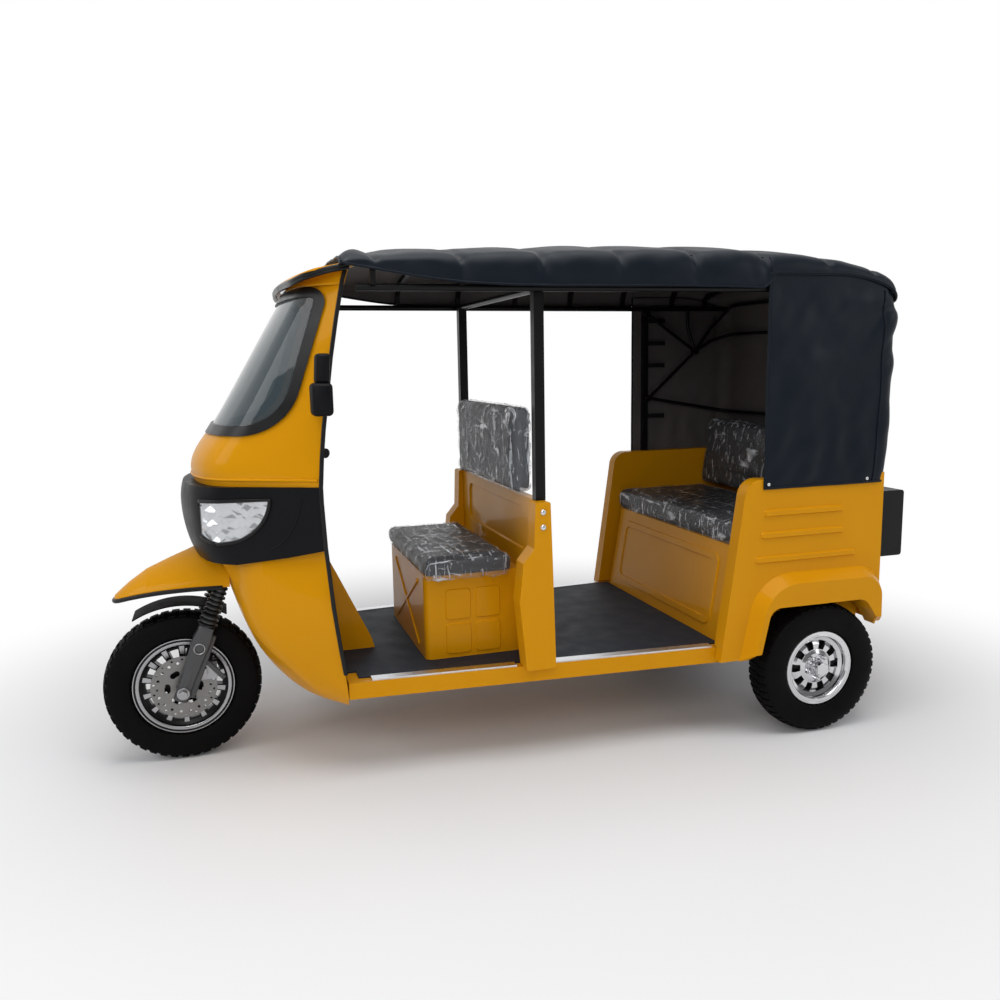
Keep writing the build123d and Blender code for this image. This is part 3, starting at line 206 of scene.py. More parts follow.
rubber_black = plain_finish("rubber_black", (0.0030, 0.0031, 0.0036), 0.34, grain=420, gloss=0.26)
glass, tree, shader, coords = shader_tree("screen_glass_painted_shade")
# Painted shade: the dark tint covers two thirds of the view through the pane face-on, and more at a slant.
facing = add(tree, "LayerWeight", {"Blend": 0.35}).outputs["Facing"]
depth = add(tree, "MapRange", {"Value": facing, "From Min": 0.35, "From Max": 0.98, "To Min": 0.66,
                               "To Max": 0.97})
wire(tree, shader, {"Base Color": (0.060, 0.082, 0.092, 1), "Roughness": 0.03, "Coat Weight": 0.25,
                    "Coat Roughness": 0.02, "Specular IOR Level": 0.25, "Alpha": depth.outputs["Result"]})
link_bump(tree, shader, noise_height(tree, coords, 3, 2), 0.002, 0.15)
glass.surface_render_method = "BLENDED"
finish(glass, "windscreen_glass")
finish(rubber_black, "windscreen_gasket")


# Door edge trims -------------------------------
# Black rubber channel pushed over the raw rear edge of the nose, from the cap down to the sill, and over the
# front edge of the roof cap;
# this section draws only the channel on the nose edges.
def place_piece(name, shape, material, body="body", stands_for=(), smooth=40, turn_out=True):
    """Object made from a finished bmesh, riding on its body and material."""
    if turn_out:
        bmesh.ops.recalc_face_normals(shape, faces=shape.faces)
    mesh = bpy.data.meshes.new(name)
    shape.to_mesh(mesh)
    shape.free()
    mesh.materials.append(material)
    mesh.shade_smooth()
    mesh.set_sharp_from_angle(angle=radians(smooth))
    piece = bpy.data.objects.new(name, mesh)
    bpy.context.collection.objects.link(piece)
    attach(piece, body)
    if stands_for:
        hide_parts(*stands_for)
    return piece


def ribbon(shape, route, width_way, width, thickness_way, thickness):
    """Strip of one section carried along a route, closed at both ends."""
    wide, thick = Vector(width_way) * width / 2, Vector(thickness_way) * thickness / 2
    corners = [wide + thick, wide - thick, -wide - thick, -wide + thick]
    first = shape.faces.new([shape.verts.new(Vector(route[0]) + corner) for corner in corners])
    face = first
    for point in route[1:]:
        made = bmesh.ops.extrude_face_region(shape, geom=[face])["geom"]
        face = next(item for item in made if isinstance(item, bmesh.types.BMFace))
        middle = face.calc_center_median()
        bmesh.ops.translate(shape, verts=list(face.verts), vec=Vector(point) - middle)
    bmesh.ops.remove_doubles(shape, verts=shape.verts, dist=0.00001)


def soften(piece, width, segments=2):
    """Rounded edges on a finished piece."""
    edge = piece.modifiers.new("rounded_edges", "BEVEL")
    edge.width = width
    edge.segments = segments
    edge.limit_method = "ANGLE"
    edge.angle_limit = radians(40)


sides = (("left", 1), ("right", -1))
nose_edge = [(0.664, 0.431, 1.672), (0.683, 0.433, 1.610), (0.707, 0.434, 1.495), (0.728, 0.436, 1.380),
             (0.744, 0.437, 1.270), (0.760, 0.438, 1.160), (0.769, 0.440, 1.080), (0.777, 0.446, 0.985),
             (0.777, 0.448, 0.940), (0.774, 0.448, 0.865), (0.771, 0.447, 0.795), (0.763, 0.444, 0.700),
             (0.755, 0.443, 0.600), (0.746, 0.443, 0.520), (0.737, 0.443, 0.450), (0.727, 0.442, 0.375)]
for name, side in sides:
    shape = bmesh.new()
    ribbon(shape, [(x - 0.001, side * y, z) for x, y, z in nose_edge], (1, 0, 0), 0.013, (0, 1, 0), 0.013)
    soften(place_piece(f"door_edge_trim_{name}", shape, rubber_black), 0.003)


def rod(name, route, radius, material, body="body", cyclic=False, order=0):
    """Round strip, wire or tube along a route."""
    line = bpy.data.curves.new(name, "CURVE")
    line.dimensions = "3D"
    line.bevel_depth = radius
    line.bevel_resolution = 4
    line.use_fill_caps = True
    spline = line.splines.new("NURBS" if order else "POLY")
    spline.points.add(len(route) - 1)
    for point, place in zip(spline.points, route):
        point.co = (*place, 1)
    if order:
        spline.order_u = order
        spline.use_endpoint_u = not cyclic
        spline.resolution_u = 6
    spline.use_cyclic_u = cyclic
    line.materials.append(material)
    piece = bpy.data.objects.new(name, line)
    bpy.context.collection.objects.link(piece)
    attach(piece, body)
    return piece


# Visor -----------------------------------------
# Thin pressed peak over the windscreen, nearly flat from side to side and rolled down along its front, on a
# low header that closes the top of the nose. Rubber channel covers its edge and a small lamp hangs under it.
peak_half, peak_rear, peak_corner = 0.452, 0.642, 0.092


def peak_reach(y):
    """Front edge of the peak at a place across, rounded at its corners."""
    reach = 0.850 - 0.034 * (y / peak_half) ** 2
    over = abs(y) - (peak_half - peak_corner)
    if over > 0:
        reach -= peak_corner - sqrt(max(0.0, peak_corner ** 2 - over ** 2))
    return reach


def peak_top(x, y):
    """Height of the peak's upper face."""
    roll = max(0.0, (x - 0.772 + 0.030 * (y / peak_half) ** 2) / 0.078)
    return 1.6685 - 0.205 * (x - 0.700) - 0.013 * (y / peak_half) ** 2 - 0.017 * roll ** 2.4


def face_up(piece):
    """Turn a sheet over where its outer face isn't its upper one."""
    if sum(face.normal.z for face in piece.data.polygons) < 0:
        piece.data.flip_normals()


def thicken(piece, thickness, offset, lining=0):
    """Wall given to a sheet; a lining of 1 gives its inner side the second material."""
    wall = piece.modifiers.new("wall", "SOLIDIFY")
    wall.thickness = thickness
    wall.offset = offset
    wall.material_offset = lining


shape = bmesh.new()
bmesh.ops.create_grid(shape, x_segments=40, y_segments=72, size=1)
for vert in shape.verts:
    y = peak_half * (0.70 * vert.co.y + 0.30 * sin(vert.co.y * pi / 2))
    x = peak_rear + (peak_reach(y) - peak_rear) * sin((vert.co.x + 1) * pi / 4)
    vert.co = (x, y, peak_top(x, y))
peak = place_piece("visor_peak", shape, body_paint, "body", ("visor",), smooth=60)
face_up(peak)
thicken(peak, 0.016, -1)
shape = bmesh.new()
bmesh.ops.create_grid(shape, x_segments=64, y_segments=6, size=1)
for vert in shape.verts:
    rise = (vert.co.y + 1) / 2
    across, height = vert.co.x, 1.597 + 0.052 * rise
    share = (height - 1.610) / 0.090
    front, corner_x, corner_y = 0.818 - 0.054 * share, 0.781 - 0.052 * share, 0.330 + 0.005 * share
    rear, half = 0.683 - 0.028 * share - 0.012, 0.432 - 0.002 * share
    turn = abs(across)
    if turn < 0.45:
        y = corner_y * 0.86 * turn / 0.45
        x = front - (front - corner_x) * (y / corner_y) ** 2
    else:
        walk = (turn - 0.45) / 0.55
        start = Vector((front - (front - corner_x) * 0.74, corner_y * 0.86))
        x, y = ((1 - walk) ** 2 * start + 2 * walk * (1 - walk) * Vector((corner_x - 0.012, corner_y + 0.062))
                + walk ** 2 * Vector((rear, half)))
    vert.co = (x + 0.0022, y * (1.006 if across > 0 else -1.006), height)
header = place_piece("visor_header", shape, body_paint, "body", smooth=60)
thicken(header, 0.003, 0)
edge_route = [(peak_rear + 0.02, -peak_half), (0.70, -peak_half)]
edge_route += [(peak_reach(peak_half * step / 16), peak_half * step / 16) for step in range(-16, 17)]
edge_route += [(0.70, peak_half), (peak_rear + 0.02, peak_half)]
for name, drop, radius in (("upper", 0.0085, 0.0068), ("lower", 0.0170, 0.0058)):
    route = [(x, y, peak_top(x, y) - drop) for x, y in edge_route]
    rod(f"visor_edge_rubber_{name}", route, radius, rubber_black, order=3)


def ball(shape, rings, radius, squash, place):
    """Ball squashed and set at a place."""
    verts = bmesh.ops.create_uvsphere(shape, u_segments=rings[0], v_segments=rings[1], radius=radius)["verts"]
    bmesh.ops.scale(shape, verts=verts, vec=squash)
    bmesh.ops.translate(shape, verts=verts, vec=place)
    return verts


lamp_glass, tree, shader, coords = shader_tree("clear_lens")
wire(tree, shader, {"Base Color": (0.80, 0.82, 0.83, 1), "Roughness": 0.04, "Alpha": 0.22, "Coat Weight": 1.0,
                    "Coat Roughness": 0.03})
link_bump(tree, shader, noise_height(tree, coords, 60, 1, (0.2, 1, 1)), 0.001, 0.2)
lamp_glass.surface_render_method = "BLENDED"
chrome = plain_finish("chrome", (0.56, 0.56, 0.575), 0.15, metallic=1.0)
shape = bmesh.new()
ball(shape, (24, 14), 1, (0.017, 0.046, 0.013), (0.824, 0.060, 1.606))
place_piece("marker_lamp", shape, chrome)

# Mask and headlamps ----------------------------
# Injection-moulded matt black mask with a curved crease behind each lamp. Each lamp is a clear lens over a
# bright reflector of broken facets, with a thin moulded rim.
mask_black = plain_finish("moulded_mask_black", (0.0022, 0.0025, 0.0033), 0.42, grain=900, grain_depth=0.0003,
                          gloss=0.13)
finish(mask_black, "front_mask", "dashboard")
reflector = plain_finish("broken_reflector", (0.50, 0.51, 0.53), 0.20, metallic=1.0)
tree = reflector.node_tree
coords = tree.nodes["Texture Coordinate"].outputs["Object"]
cells = add(tree, "TexVoronoi", {"Vector": coords, "Scale": 26})
cells.distance = "CHEBYCHEV"
link_bump(tree, tree.nodes["Principled BSDF"], cells.outputs["Distance"], 0.02, 0.8)
finish(reflector, "headlamps")


def wrap(x, y, z, lift=0.0):
    """Point moved out along the plan of the mask by a lift."""
    reach = Vector((x - 0.80, y, 0)).normalized()
    return Vector((x, y, z)) + reach * lift


mask_shape, nose_shape = bmesh.new(), bmesh.new()
mask_shape.from_mesh(nodes["front_mask"].data)
nose_shape.from_mesh(nodes["nose_upper"].data)
mask_tree, nose_tree = BVHTree.FromBMesh(mask_shape), BVHTree.FromBMesh(nose_shape)
for name, side in sides:
    shape = bmesh.new()
    shape.from_mesh(nodes["headlamps"].data)
    bmesh.ops.remove_doubles(shape, verts=shape.verts, dist=0.0002)
    bmesh.ops.delete(shape, geom=[vert for vert in shape.verts if vert.co.y * side < 0], context="VERTS")
    shape.normal_update()
    inward = [face for face in shape.faces if face.normal.dot(Vector((0.55, side * 0.75, 0))) < 0.55]
    bmesh.ops.delete(shape, geom=inward, context="FACES")
    start = next(edge for edge in shape.edges if edge.is_boundary)
    walked, vert = {start}, start.verts[1]
    rim_points = [start.verts[0].co.copy()]
    while vert is not None:
        rim_points.append(vert.co.copy())
        onward = next((edge for edge in vert.link_edges if edge.is_boundary and edge not in walked), None)
        walked.add(onward)
        vert = None if onward is None else onward.other_vert(vert)
    for vert in shape.verts:
        vert.co = wrap(*vert.co, lift=0.0035)
    place_piece(f"headlamp_lens_{name}", shape, lamp_glass, turn_out=False)
    spaced = [rim_points[0]]
    for point in rim_points:
        if (point - spaced[-1]).length > 0.006:
            spaced.append(point)
    route = [wrap(*point, lift=0.003) for point in spaced]
    rod(f"headlamp_rim_{name}", route, 0.0062, rubber_black, cyclic=True)
    crease_route = []
    for x, z in ((0.834, 0.950), (0.838, 0.925), (0.846, 0.895), (0.857, 0.866), (0.872, 0.840), (0.892, 0.815),
                 (0.915, 0.796), (0.940, 0.782)):
        spot = mask_tree.ray_cast(Vector((x, side * 0.60, z)), Vector((0, -side, 0)))[0]
        crease_route.append(spot - Vector((0, side * 0.0012, 0)))
    rod(f"mask_crease_{name}", crease_route, 0.0035, mask_black, order=3)
bead_route = []
for side in (-1, 1):
    starts = [Vector((0.783 + 0.030 * step, side * 0.60, 1.006)) for step in range(9)]
    aims = [Vector((0, -side, 0))] * 9
    for step in range(14):
        angle = radians(58 - 58 * step / 13)
        starts.append(Vector((0.90 + 0.9 * cos(angle), side * 0.9 * sin(angle), 1.006)))
        aims.append(Vector((-cos(angle), -side * sin(angle), 0)))
    spots = [nose_tree.ray_cast(start, aim)[0] for start, aim in zip(starts, aims)]
    bead_route += spots if side < 0 else spots[-2::-1]
rod("nose_lower_bead", bead_route, 0.0050, body_paint, order=3)

# Beak mudguard ---------------------------------
# Pressed amber beak over the front wheel, ridged down its middle, with black rubber channel along its edge.
beak_side = [(1.085, 0.191, 0.637), (1.163, 0.158, 0.632), (1.260, 0.118, 0.621), (1.330, 0.090, 0.610),
             (1.388, 0.062, 0.597), (1.422, 0.040, 0.586), (1.437, 0.022, 0.582)]
beak_route = beak_side + [(1.441, 0.0, 0.582)] + [(x, -y, z) for x, y, z in reversed(beak_side)]
rod("beak_edge_rubber", beak_route, 0.0075, rubber_black, order=3)

# Front fork ------------------------------------
# Telescopic legs: painted alloy sliders with flat-faced shrouds, ribbed rubber gaiters above them, a small
# bracket for the brake line and a pinned axle.
fork_grey = plain_finish("fork_grey", (0.058, 0.060, 0.062), 0.34, metallic=0.35, grain=300)
frame_black = plain_finish("frame_black", (0.0030, 0.0030, 0.0034), 0.36, grain=160, gloss=0.18)
cast_metal = plain_finish("cast_metal", (0.34, 0.34, 0.35), 0.38, metallic=1.0, grain=260, grain_depth=0.0005)
finish(fork_grey, "fork")
finish(frame_black, "handlebar")
guard_black = plain_finish("guard_black", (0.0024, 0.0024, 0.0027), 0.62, grain=500, gloss=0.06)
finish(guard_black, "inner_mudguard")
rake = radians(22)
steer_up = Vector((-sin(rake), 0, cos(rake)))
steer_ahead = Vector((cos(rake), 0, sin(rake)))
axle = Vector((1.236, 0, 0.263))


def turned(shape, outline, centre, along, steps):
    """Round form spun from an outline of (along the axis, radius) points, round an axis square to X."""
    along = Vector(along)
    verts = [shape.verts.new(centre + along * place + Vector((reach, 0, 0))) for place, reach in outline]
    edges = [shape.edges.new(pair) for pair in zip(verts, verts[1:])]
    bmesh.ops.spin(shape, geom=verts + edges, cent=centre, axis=along, angle=tau, steps=steps, use_merge=True)
    bmesh.ops.remove_doubles(shape, verts=shape.verts, dist=0.00002)


def block(shape, low, high, bevel=0.0, segments=2):
    """Box from its lowest to its highest corner, with its edges bevelled."""
    low, high = Vector(low), Vector(high)
    verts = bmesh.ops.create_cube(shape, size=1)["verts"]
    bmesh.ops.scale(shape, verts=verts, vec=high - low)
    bmesh.ops.translate(shape, verts=verts, vec=(low + high) / 2)
    if bevel:
        edges = list({edge for vert in verts for edge in vert.link_edges})
        bmesh.ops.bevel(shape, geom=edges, offset=bevel, segments=segments, profile=0.5, affect="EDGES",
                        material=-1)


def hexagon(shape, lower, upper, depth):
    """Six-sided nut standing on end, narrowing upwards."""
    return bmesh.ops.create_cone(shape, cap_ends=True, segments=6, radius1=lower, radius2=upper,
                                 depth=depth)["verts"]


def lay_outwards(shape, verts, side, place):
    """Turn what stands on end outwards from the vehicle and set it at a place."""
    bmesh.ops.rotate(shape, verts=verts, cent=(0, 0, 0), matrix=Matrix.Rotation(-side * pi / 2, 3, "X"))
    bmesh.ops.translate(shape, verts=verts, vec=place)


def leg_frame(side):
    """Turn a shape drawn round the origin, Z up and X ahead, on to a fork leg."""
    turn = Matrix((steer_ahead, (0, 1, 0), steer_up)).transposed().to_4x4()
    return Matrix.Translation(axle + Vector((0, side * 0.095, 0))) @ turn


shroud_rows = [(-0.030, 0.021, 0.022), (-0.018, 0.027, 0.026), (0.190, 0.031, 0.029), (0.232, 0.031, 0.030),
               (0.240, 0.028, 0.027)]
gaiter = [(0.238, 0.016)]
for rib in range(9):
    low = 0.242 + 0.0165 * rib
    swell = 0.034 - 0.0011 * rib
    gaiter += [(low, swell - 0.010), (low + 0.004, swell), (low + 0.009, swell), (low + 0.0125, swell - 0.010)]
gaiter.append((0.396, 0.019))
for name, side in sides:
    shape = bmesh.new()
    block(shape, (-1, -1, 0), (1, 1, 1))
    bmesh.ops.subdivide_edges(shape, edges=[edge for edge in shape.edges
                                            if abs(edge.verts[0].co.z - edge.verts[1].co.z) > 0.5], cuts=3)
    levels = sorted({round(vert.co.z, 4) for vert in shape.verts})
    for vert in shape.verts:
        height, deep, wide = shroud_rows[levels.index(round(vert.co.z, 4))]
        vert.co = (vert.co.x * deep, vert.co.y * wide, height)
    upright = [edge for edge in shape.edges if abs(edge.verts[0].co.z - edge.verts[1].co.z) > 0.004]
    bmesh.ops.bevel(shape, geom=upright, offset=0.010, segments=3, profile=0.5, affect="EDGES", material=-1)
    block(shape, (-0.042, -0.010, -0.012), (-0.020, 0.010, 0.215), 0.003)
    bmesh.ops.transform(shape, matrix=leg_frame(side), verts=shape.verts)
    soften(place_piece(f"fork_shroud_{name}", shape, fork_grey, "steering"), 0.0015)
    shape = bmesh.new()
    turned(shape, gaiter, Vector((0, 0, 0)), (0, 0, 1), 28)
    bmesh.ops.transform(shape, matrix=leg_frame(side), verts=shape.verts)
    place_piece(f"fork_gaiter_{name}", shape, rubber_black, "steering", smooth=60)
    shape = bmesh.new()
    turned(shape, [(0, 0.0195), (0.0026, 0.0190), (0.0032, 0.0174), (0.0024, 0.0158), (0, 0.0154)],
           axle + steer_up * 0.165 + Vector((0, side * 0.1252, 0)), (0, side, 0), 36)
    place_piece(f"fork_badge_ring_{name}", shape, cast_metal, "steering")
    shape = bmesh.new()
    lay_outwards(shape, hexagon(shape, 0.0155, 0.0155, 0.016), side, (0, side * 0.130, 0))
    turned(shape, [(-0.006, 0.0005), (-0.006, 0.021), (0.0, 0.021), (0.0, 0.0005)],
           Vector((0, side * 0.124, 0)), (0, side, 0), 28)
    bmesh.ops.translate(shape, verts=shape.verts, vec=axle)
    soften(place_piece(f"axle_nut_{name}", shape, cast_metal, "steering"), 0.001)
shape = bmesh.new()
block(shape, (-0.095, -0.004, -0.008), (0.0, 0.004, 0.008), 0.002)
bmesh.ops.rotate(shape, verts=shape.verts, cent=(0, 0, 0), matrix=Matrix.Rotation(radians(-28), 3, "Y"))
bmesh.ops.translate(shape, verts=shape.verts, vec=(-0.03, 0.0, 0.125))
bmesh.ops.transform(shape, matrix=leg_frame(1), verts=shape.verts)
place_piece("fork_line_bracket", shape, fork_grey, "steering")

# Front wheel -----------------------------------
# Cast alloy wheel sprayed black, its rim lip and spoke ends turned bright, with a drilled disc and a
# two-piston caliper. The tyre is a block-shouldered motorcycle tyre.
alloy_black = plain_finish("alloy_black", (0.0035, 0.0035, 0.0038), 0.32, grain=200, gloss=0.22)
turned_lip = plain_finish("turned_bright_lip", (0.36, 0.36, 0.37), 0.30, metallic=1.0)
disc_steel = plain_finish("disc_steel", (0.20, 0.195, 0.19), 0.36, metallic=1.0, grain=300)
finish(alloy_black, "front_rim")
finish(disc_steel, "brake_disc")
finish(cast_metal, "brake_caliper")
for name, side in sides:
    shape = bmesh.new()
    turned(shape, [(0.0, 0.1475), (0.0012, 0.149), (0.0014, 0.158), (-0.002, 0.160), (-0.002, 0.164),
                   (0.0016, 0.1655), (0.0016, 0.1685), (-0.003, 0.1695), (-0.006, 0.1695)],
           axle + Vector((0, side * 0.0384, 0)), (0, side, 0), 96)
    place_piece(f"front_rim_lip_{name}", shape, turned_lip, "front_wheel")
    shape = bmesh.new()
    for spoke in range(14):
        tip = bmesh.ops.create_cube(shape, size=1)["verts"]
        bmesh.ops.scale(shape, verts=tip, vec=(0.030, 0.0016, 0.013))
        for vert in tip:
            if vert.co.x > 0:
                vert.co.z *= 1.35
        bmesh.ops.translate(shape, verts=tip, vec=(0.1255, side * 0.0178, 0))
        turn = Matrix.Rotation(tau * (spoke + 0.5) / 14, 3, "Y")
        bmesh.ops.rotate(shape, verts=tip, cent=(0, 0, 0), matrix=turn)
    bmesh.ops.translate(shape, verts=shape.verts, vec=axle)
    place_piece(f"front_spoke_ends_{name}", shape, turned_lip, "front_wheel")

tyre_rubber, tree, shader, coords = shader_tree("tyre_rubber")
tint(tree, shader, noise_height(tree, coords, 7, 5), (0.0018, 0.0018, 0.0020), (0.0042, 0.0040, 0.0039))
tint(tree, shader, noise_height(tree, coords, 20, 4), 0.52, 0.66, "Roughness")
wire(tree, shader, {"Specular IOR Level": 0.08})
link_bump(tree, shader, noise_height(tree, coords, 420, 3), 0.0003, 0.4)


def tyre(name, node, body, centre, radius, width, bead_radius, bead_half, flange_radius, blocks):
    """Carcass spun from its section, with raised blocks over the crown and shoulders and rings on its walls."""
    bulge_y, bulge_r = width / 2, flange_radius + 0.42 * (radius - flange_radius)
    tread, crown_half, groove_half = 0.0048, 0.014, 0.016
    base = radius - tread
    half = [(0.0, base), (0.012, base - 0.0003), (groove_half, base - 0.0005),
            (0.30 * width, base - 0.035 * width), (0.345 * width, base - 0.055 * width),
            (0.425 * width, radius - 0.115 * width), (0.465 * width, radius - 0.185 * width),
            (0.49 * width, bulge_r + 0.017), (bulge_y, bulge_r),
            (0.488 * width, bulge_r - 0.015), (0.466 * width, flange_radius + 0.016),
            (0.462 * width, flange_radius + 0.013), (0.43 * width, flange_radius + 0.006),
            (bead_half + 0.0015, flange_radius + 0.001), (bead_half, flange_radius),
            (bead_half - 0.001, bead_radius + 0.001)]
    outline = [(-y, r) for y, r in reversed(half[1:])] + half
    shape = bmesh.new()
    steps = blocks * 3
    turned(shape, outline, centre, (0, 1, 0), steps)
    bmesh.ops.recalc_face_normals(shape, faces=shape.faces)
    raised = []
    for face in shape.faces:
        middle = face.calc_center_median() - centre
        reach = sqrt(middle.x ** 2 + middle.z ** 2)
        sideways = abs(middle.y)
        sector = int((atan2(middle.z, middle.x) / tau * steps) % steps)
        crown = sideways < crown_half and sector % 3 != 0
        shoulder = groove_half < sideways < 0.40 * width and (sector + (middle.y > 0)) % 3 != 0
        if crown or shoulder:
            raised.append(face)
    bmesh.ops.inset_individual(shape, faces=raised, thickness=0.0007, depth=0.0)
    lifted = bmesh.ops.extrude_discrete_faces(shape, faces=raised)["faces"]
    for face in lifted:
        middle = face.calc_center_median() - centre
        way = Vector((middle.x, 0.35 * middle.y, middle.z)).normalized()
        for vert in face.verts:
            vert.co += way * tread
    place_piece(name, shape, tyre_rubber, body, (node,), smooth=50, turn_out=False)


tyre("front_tyre_rubber", "front_tyre", "front_wheel", axle, 0.263, 0.108, 0.152, 0.032, 0.169, 44)

# Rear wheels -----------------------------------
# Pressed steel wheels, chrome plated: ten long windows, a hexagonal hub cap and five domed nuts. The tyres
# are plain ribbed carrier tyres.
finish(chrome, "rear_rim_left", "rear_rim_right")
for name, side in sides:
    centre = Vector((-0.959, side * 0.540, 0.240))
    body = f"rear_wheel_{name}"
    tyre(f"rear_tyre_rubber_{name}", f"rear_tyre_{name}", body, centre, 0.240, 0.120, 0.122, 0.040, 0.136, 48)
    shape = bmesh.new()
    turned(shape, [(0.0142, 0.0535), (0.0005, 0.0825), (0.0005, 0.1035), (-0.012, 0.1055)], centre,
           (0, side, 0), 64)
    place_piece(f"rear_drum_face_{name}", shape, alloy_black, body)
    shape = bmesh.new()
    hub_face = side * 0.030
    lay_outwards(shape, hexagon(shape, 0.029, 0.026, 0.022), side, (0, side * 0.058, 0))
    for bolt in range(5):
        nut = hexagon(shape, 0.0095, 0.0090, 0.014) + ball(shape, (12, 8), 0.0072, (1, 1, 1), (0, 0, 0.007))
        lay_outwards(shape, nut, side, (0.042, hub_face + side * 0.007, 0))
        bmesh.ops.rotate(shape, verts=nut, cent=(0, 0, 0), matrix=Matrix.Rotation(tau * bolt / 5 + 0.3, 3, "Y"))
    turned(shape, [(0.0, 0.026), (0.004, 0.035), (0.0, 0.037)], Vector((0, hub_face, 0)), (0, side, 0), 48)
    bmesh.ops.translate(shape, verts=shape.verts, vec=centre)
    soften(place_piece(f"rear_hub_cap_{name}", shape, chrome, body), 0.0012)
    shape = bmesh.new()
    turned(shape, [(-0.016, 0.112), (-0.003, 0.115), (0.0, 0.118), (0.0004, 0.1235), (-0.004, 0.125),
                   (-0.004, 0.1285), (0.0006, 0.1305), (0.0006, 0.1350), (-0.003, 0.1368), (-0.007, 0.1368)],
           centre + Vector((0, side * 0.0466, 0)), (0, side, 0), 96)
    place_piece(f"rear_rim_lip_{name}", shape, chrome, body)

# Floor, sills and chassis ----------------------
# Pressed pan on two black rails, covered with a dark ribbed rubber mat and edged with aluminium kick strips.
mat_grey = plain_finish("mat_grey", (0.0120, 0.0172, 0.0262), 0.62, grain=500, gloss=0.25)
brushed_strip = plain_finish("brushed_strip", (0.62, 0.63, 0.65), 0.30, metallic=1.0)
tree = brushed_strip.node_tree
coords = tree.nodes["Texture Coordinate"].outputs["Object"]
link_bump(tree, tree.nodes["Principled BSDF"], noise_height(tree, coords, 60, 2, (0.15, 14, 14)), 0.0008, 0.5)
engine_grey = plain_finish("engine_grey", (0.12, 0.12, 0.12), 0.55, metallic=0.6, grain=200, grain_depth=0.0008)
finish(mat_grey, "floor_mat")
finish(brushed_strip, "sill_strips")
finish(frame_black, "chassis_frame", "rear_axle", "leaf_springs")
finish(engine_grey, "engine_block")

# Seats -----------------------------------------
# Foam pads in black and grey leathercloth, still in the clear film they were delivered in: a loose sleeve,
# crumpled over the top and drawn in under the edges.
seat_black = plain_finish("seat_black", (0.0040, 0.0044, 0.0056), 0.52, grain=500, grain_depth=0.0005,
                          gloss=0.25)
seat_grey = plain_finish("seat_grey", (0.040, 0.044, 0.049), 0.55, grain=500, grain_depth=0.0005, gloss=0.3)
# Painted highlight: the film's light grey colour lies faintly over the whole pad and turns opaque along the
# crease streaks, standing for their glints.
film, tree, shader, coords = shader_tree("crumpled_film_painted_highlights")
crease_and_highlight_streaks = None
for turn, stretch, low in ((0.25, (88, 6, 18), 0.585), (-0.35, (8, 84, 20), 0.595), (0.15, (78, 42, 5), 0.590)):
    tilt = (turn * 0.6, turn * 0.4, turn)
    place = add(tree, "Mapping", {"Vector": coords, "Rotation": tilt, "Scale": stretch})
    cloud = add(tree, "TexNoise", {"Vector": place.outputs[0], "Scale": 1.0, "Detail": 3, "Distortion": 0.6})
    crease_highlight_streak = add(tree, "MapRange", {"Value": cloud.outputs["Fac"], "From Min": low, "From Max": low + 0.11})
    crease_highlight_streak = crease_highlight_streak.outputs["Result"]
    crease_and_highlight_streaks = crease_highlight_streak if crease_and_highlight_streaks is None else largest(tree, crease_and_highlight_streaks, crease_highlight_streak)
gathered_highlight_streaks = add(tree, "Math", {0: crease_and_highlight_streaks, 1: noise_height(tree, coords, 9, 3)}, "MULTIPLY").outputs[0]
# Painted highlight: the light grey film is a tenth opaque everywhere and fully opaque where the crease streaks
# gather.
painted_highlight_cover = add(tree, "MapRange", {"Value": gathered_highlight_streaks, "From Max": 0.55, "To Min": 0.10, "To Max": 1.0})
wire(tree, shader, {"Base Color": (0.66, 0.69, 0.73, 1), "Roughness": 0.20, "Coat Weight": 0.8,
                    "Coat Roughness": 0.10, "Alpha": painted_highlight_cover.outputs["Result"]})
link_bump(tree, shader, crease_and_highlight_streaks, 0.004, 0.8)
film.surface_render_method = "BLENDED"


def foam_pad(node, low, high, rounding, swell, voxel, material, slot, flat_way, lean):
    """Pad blown up from a rounded block by cloth pressure, flat where it rests, then smoothed."""
    shape = bmesh.new()
    block(shape, low, high, rounding, 3)
    if lean:
        for vert in shape.verts:
            vert.co.x += lean * (vert.co.z - low[2])
    pad = place_piece(f"{node}_pad", shape, material, "body", (node,))
    bpy.context.view_layer.objects.active = pad
    remesh = pad.modifiers.new("remesh", "REMESH")
    remesh.mode = "VOXEL"
    remesh.voxel_size = voxel
    bpy.ops.object.modifier_apply(modifier=remesh.name)
    low, high, flat_way = Vector(low), Vector(high), Vector(flat_way)
    rest = [vert.co.copy() for vert in pad.data.vertices]
    held = pad.vertex_groups.new(name="held")
    reach = min(vert.dot(flat_way) for vert in rest)
    seated = [index for index, vert in enumerate(rest) if vert.dot(flat_way) < reach + 0.006]
    held.add(seated, 1.0, "REPLACE")
    skin = pad.modifiers.new("cloth", "CLOTH")
    skin.settings.quality = 5
    skin.settings.use_pressure = True
    skin.settings.uniform_pressure_force = 4
    skin.settings.effector_weights.gravity = 0
    skin.settings.vertex_group_mass = "held"
    skin.settings.tension_stiffness = 12
    skin.settings.compression_stiffness = 12
    skin.point_cache.frame_start = 1
    skin.point_cache.frame_end = 20
    for frame_number in range(1, 21):
        bpy.context.scene.frame_set(frame_number)
    blown = pad.evaluated_get(bpy.context.evaluated_depsgraph_get()).data
    places = [vert.co.copy() for vert in blown.vertices]
    pad.modifiers.remove(skin)
    for vert, start, end in zip(pad.data.vertices, rest, places):
        move = end - start
        vert.co = start + move * min(1.0, swell / max(move.length, 1e-6))
    bpy.context.scene.frame_set(1)
    smooth = pad.modifiers.new("smooth", "CORRECTIVE_SMOOTH")
    smooth.iterations = 4
    smooth.use_only_smooth = True
    bpy.ops.object.modifier_apply(modifier=smooth.name)
    pad.data.shade_smooth()
    return pad


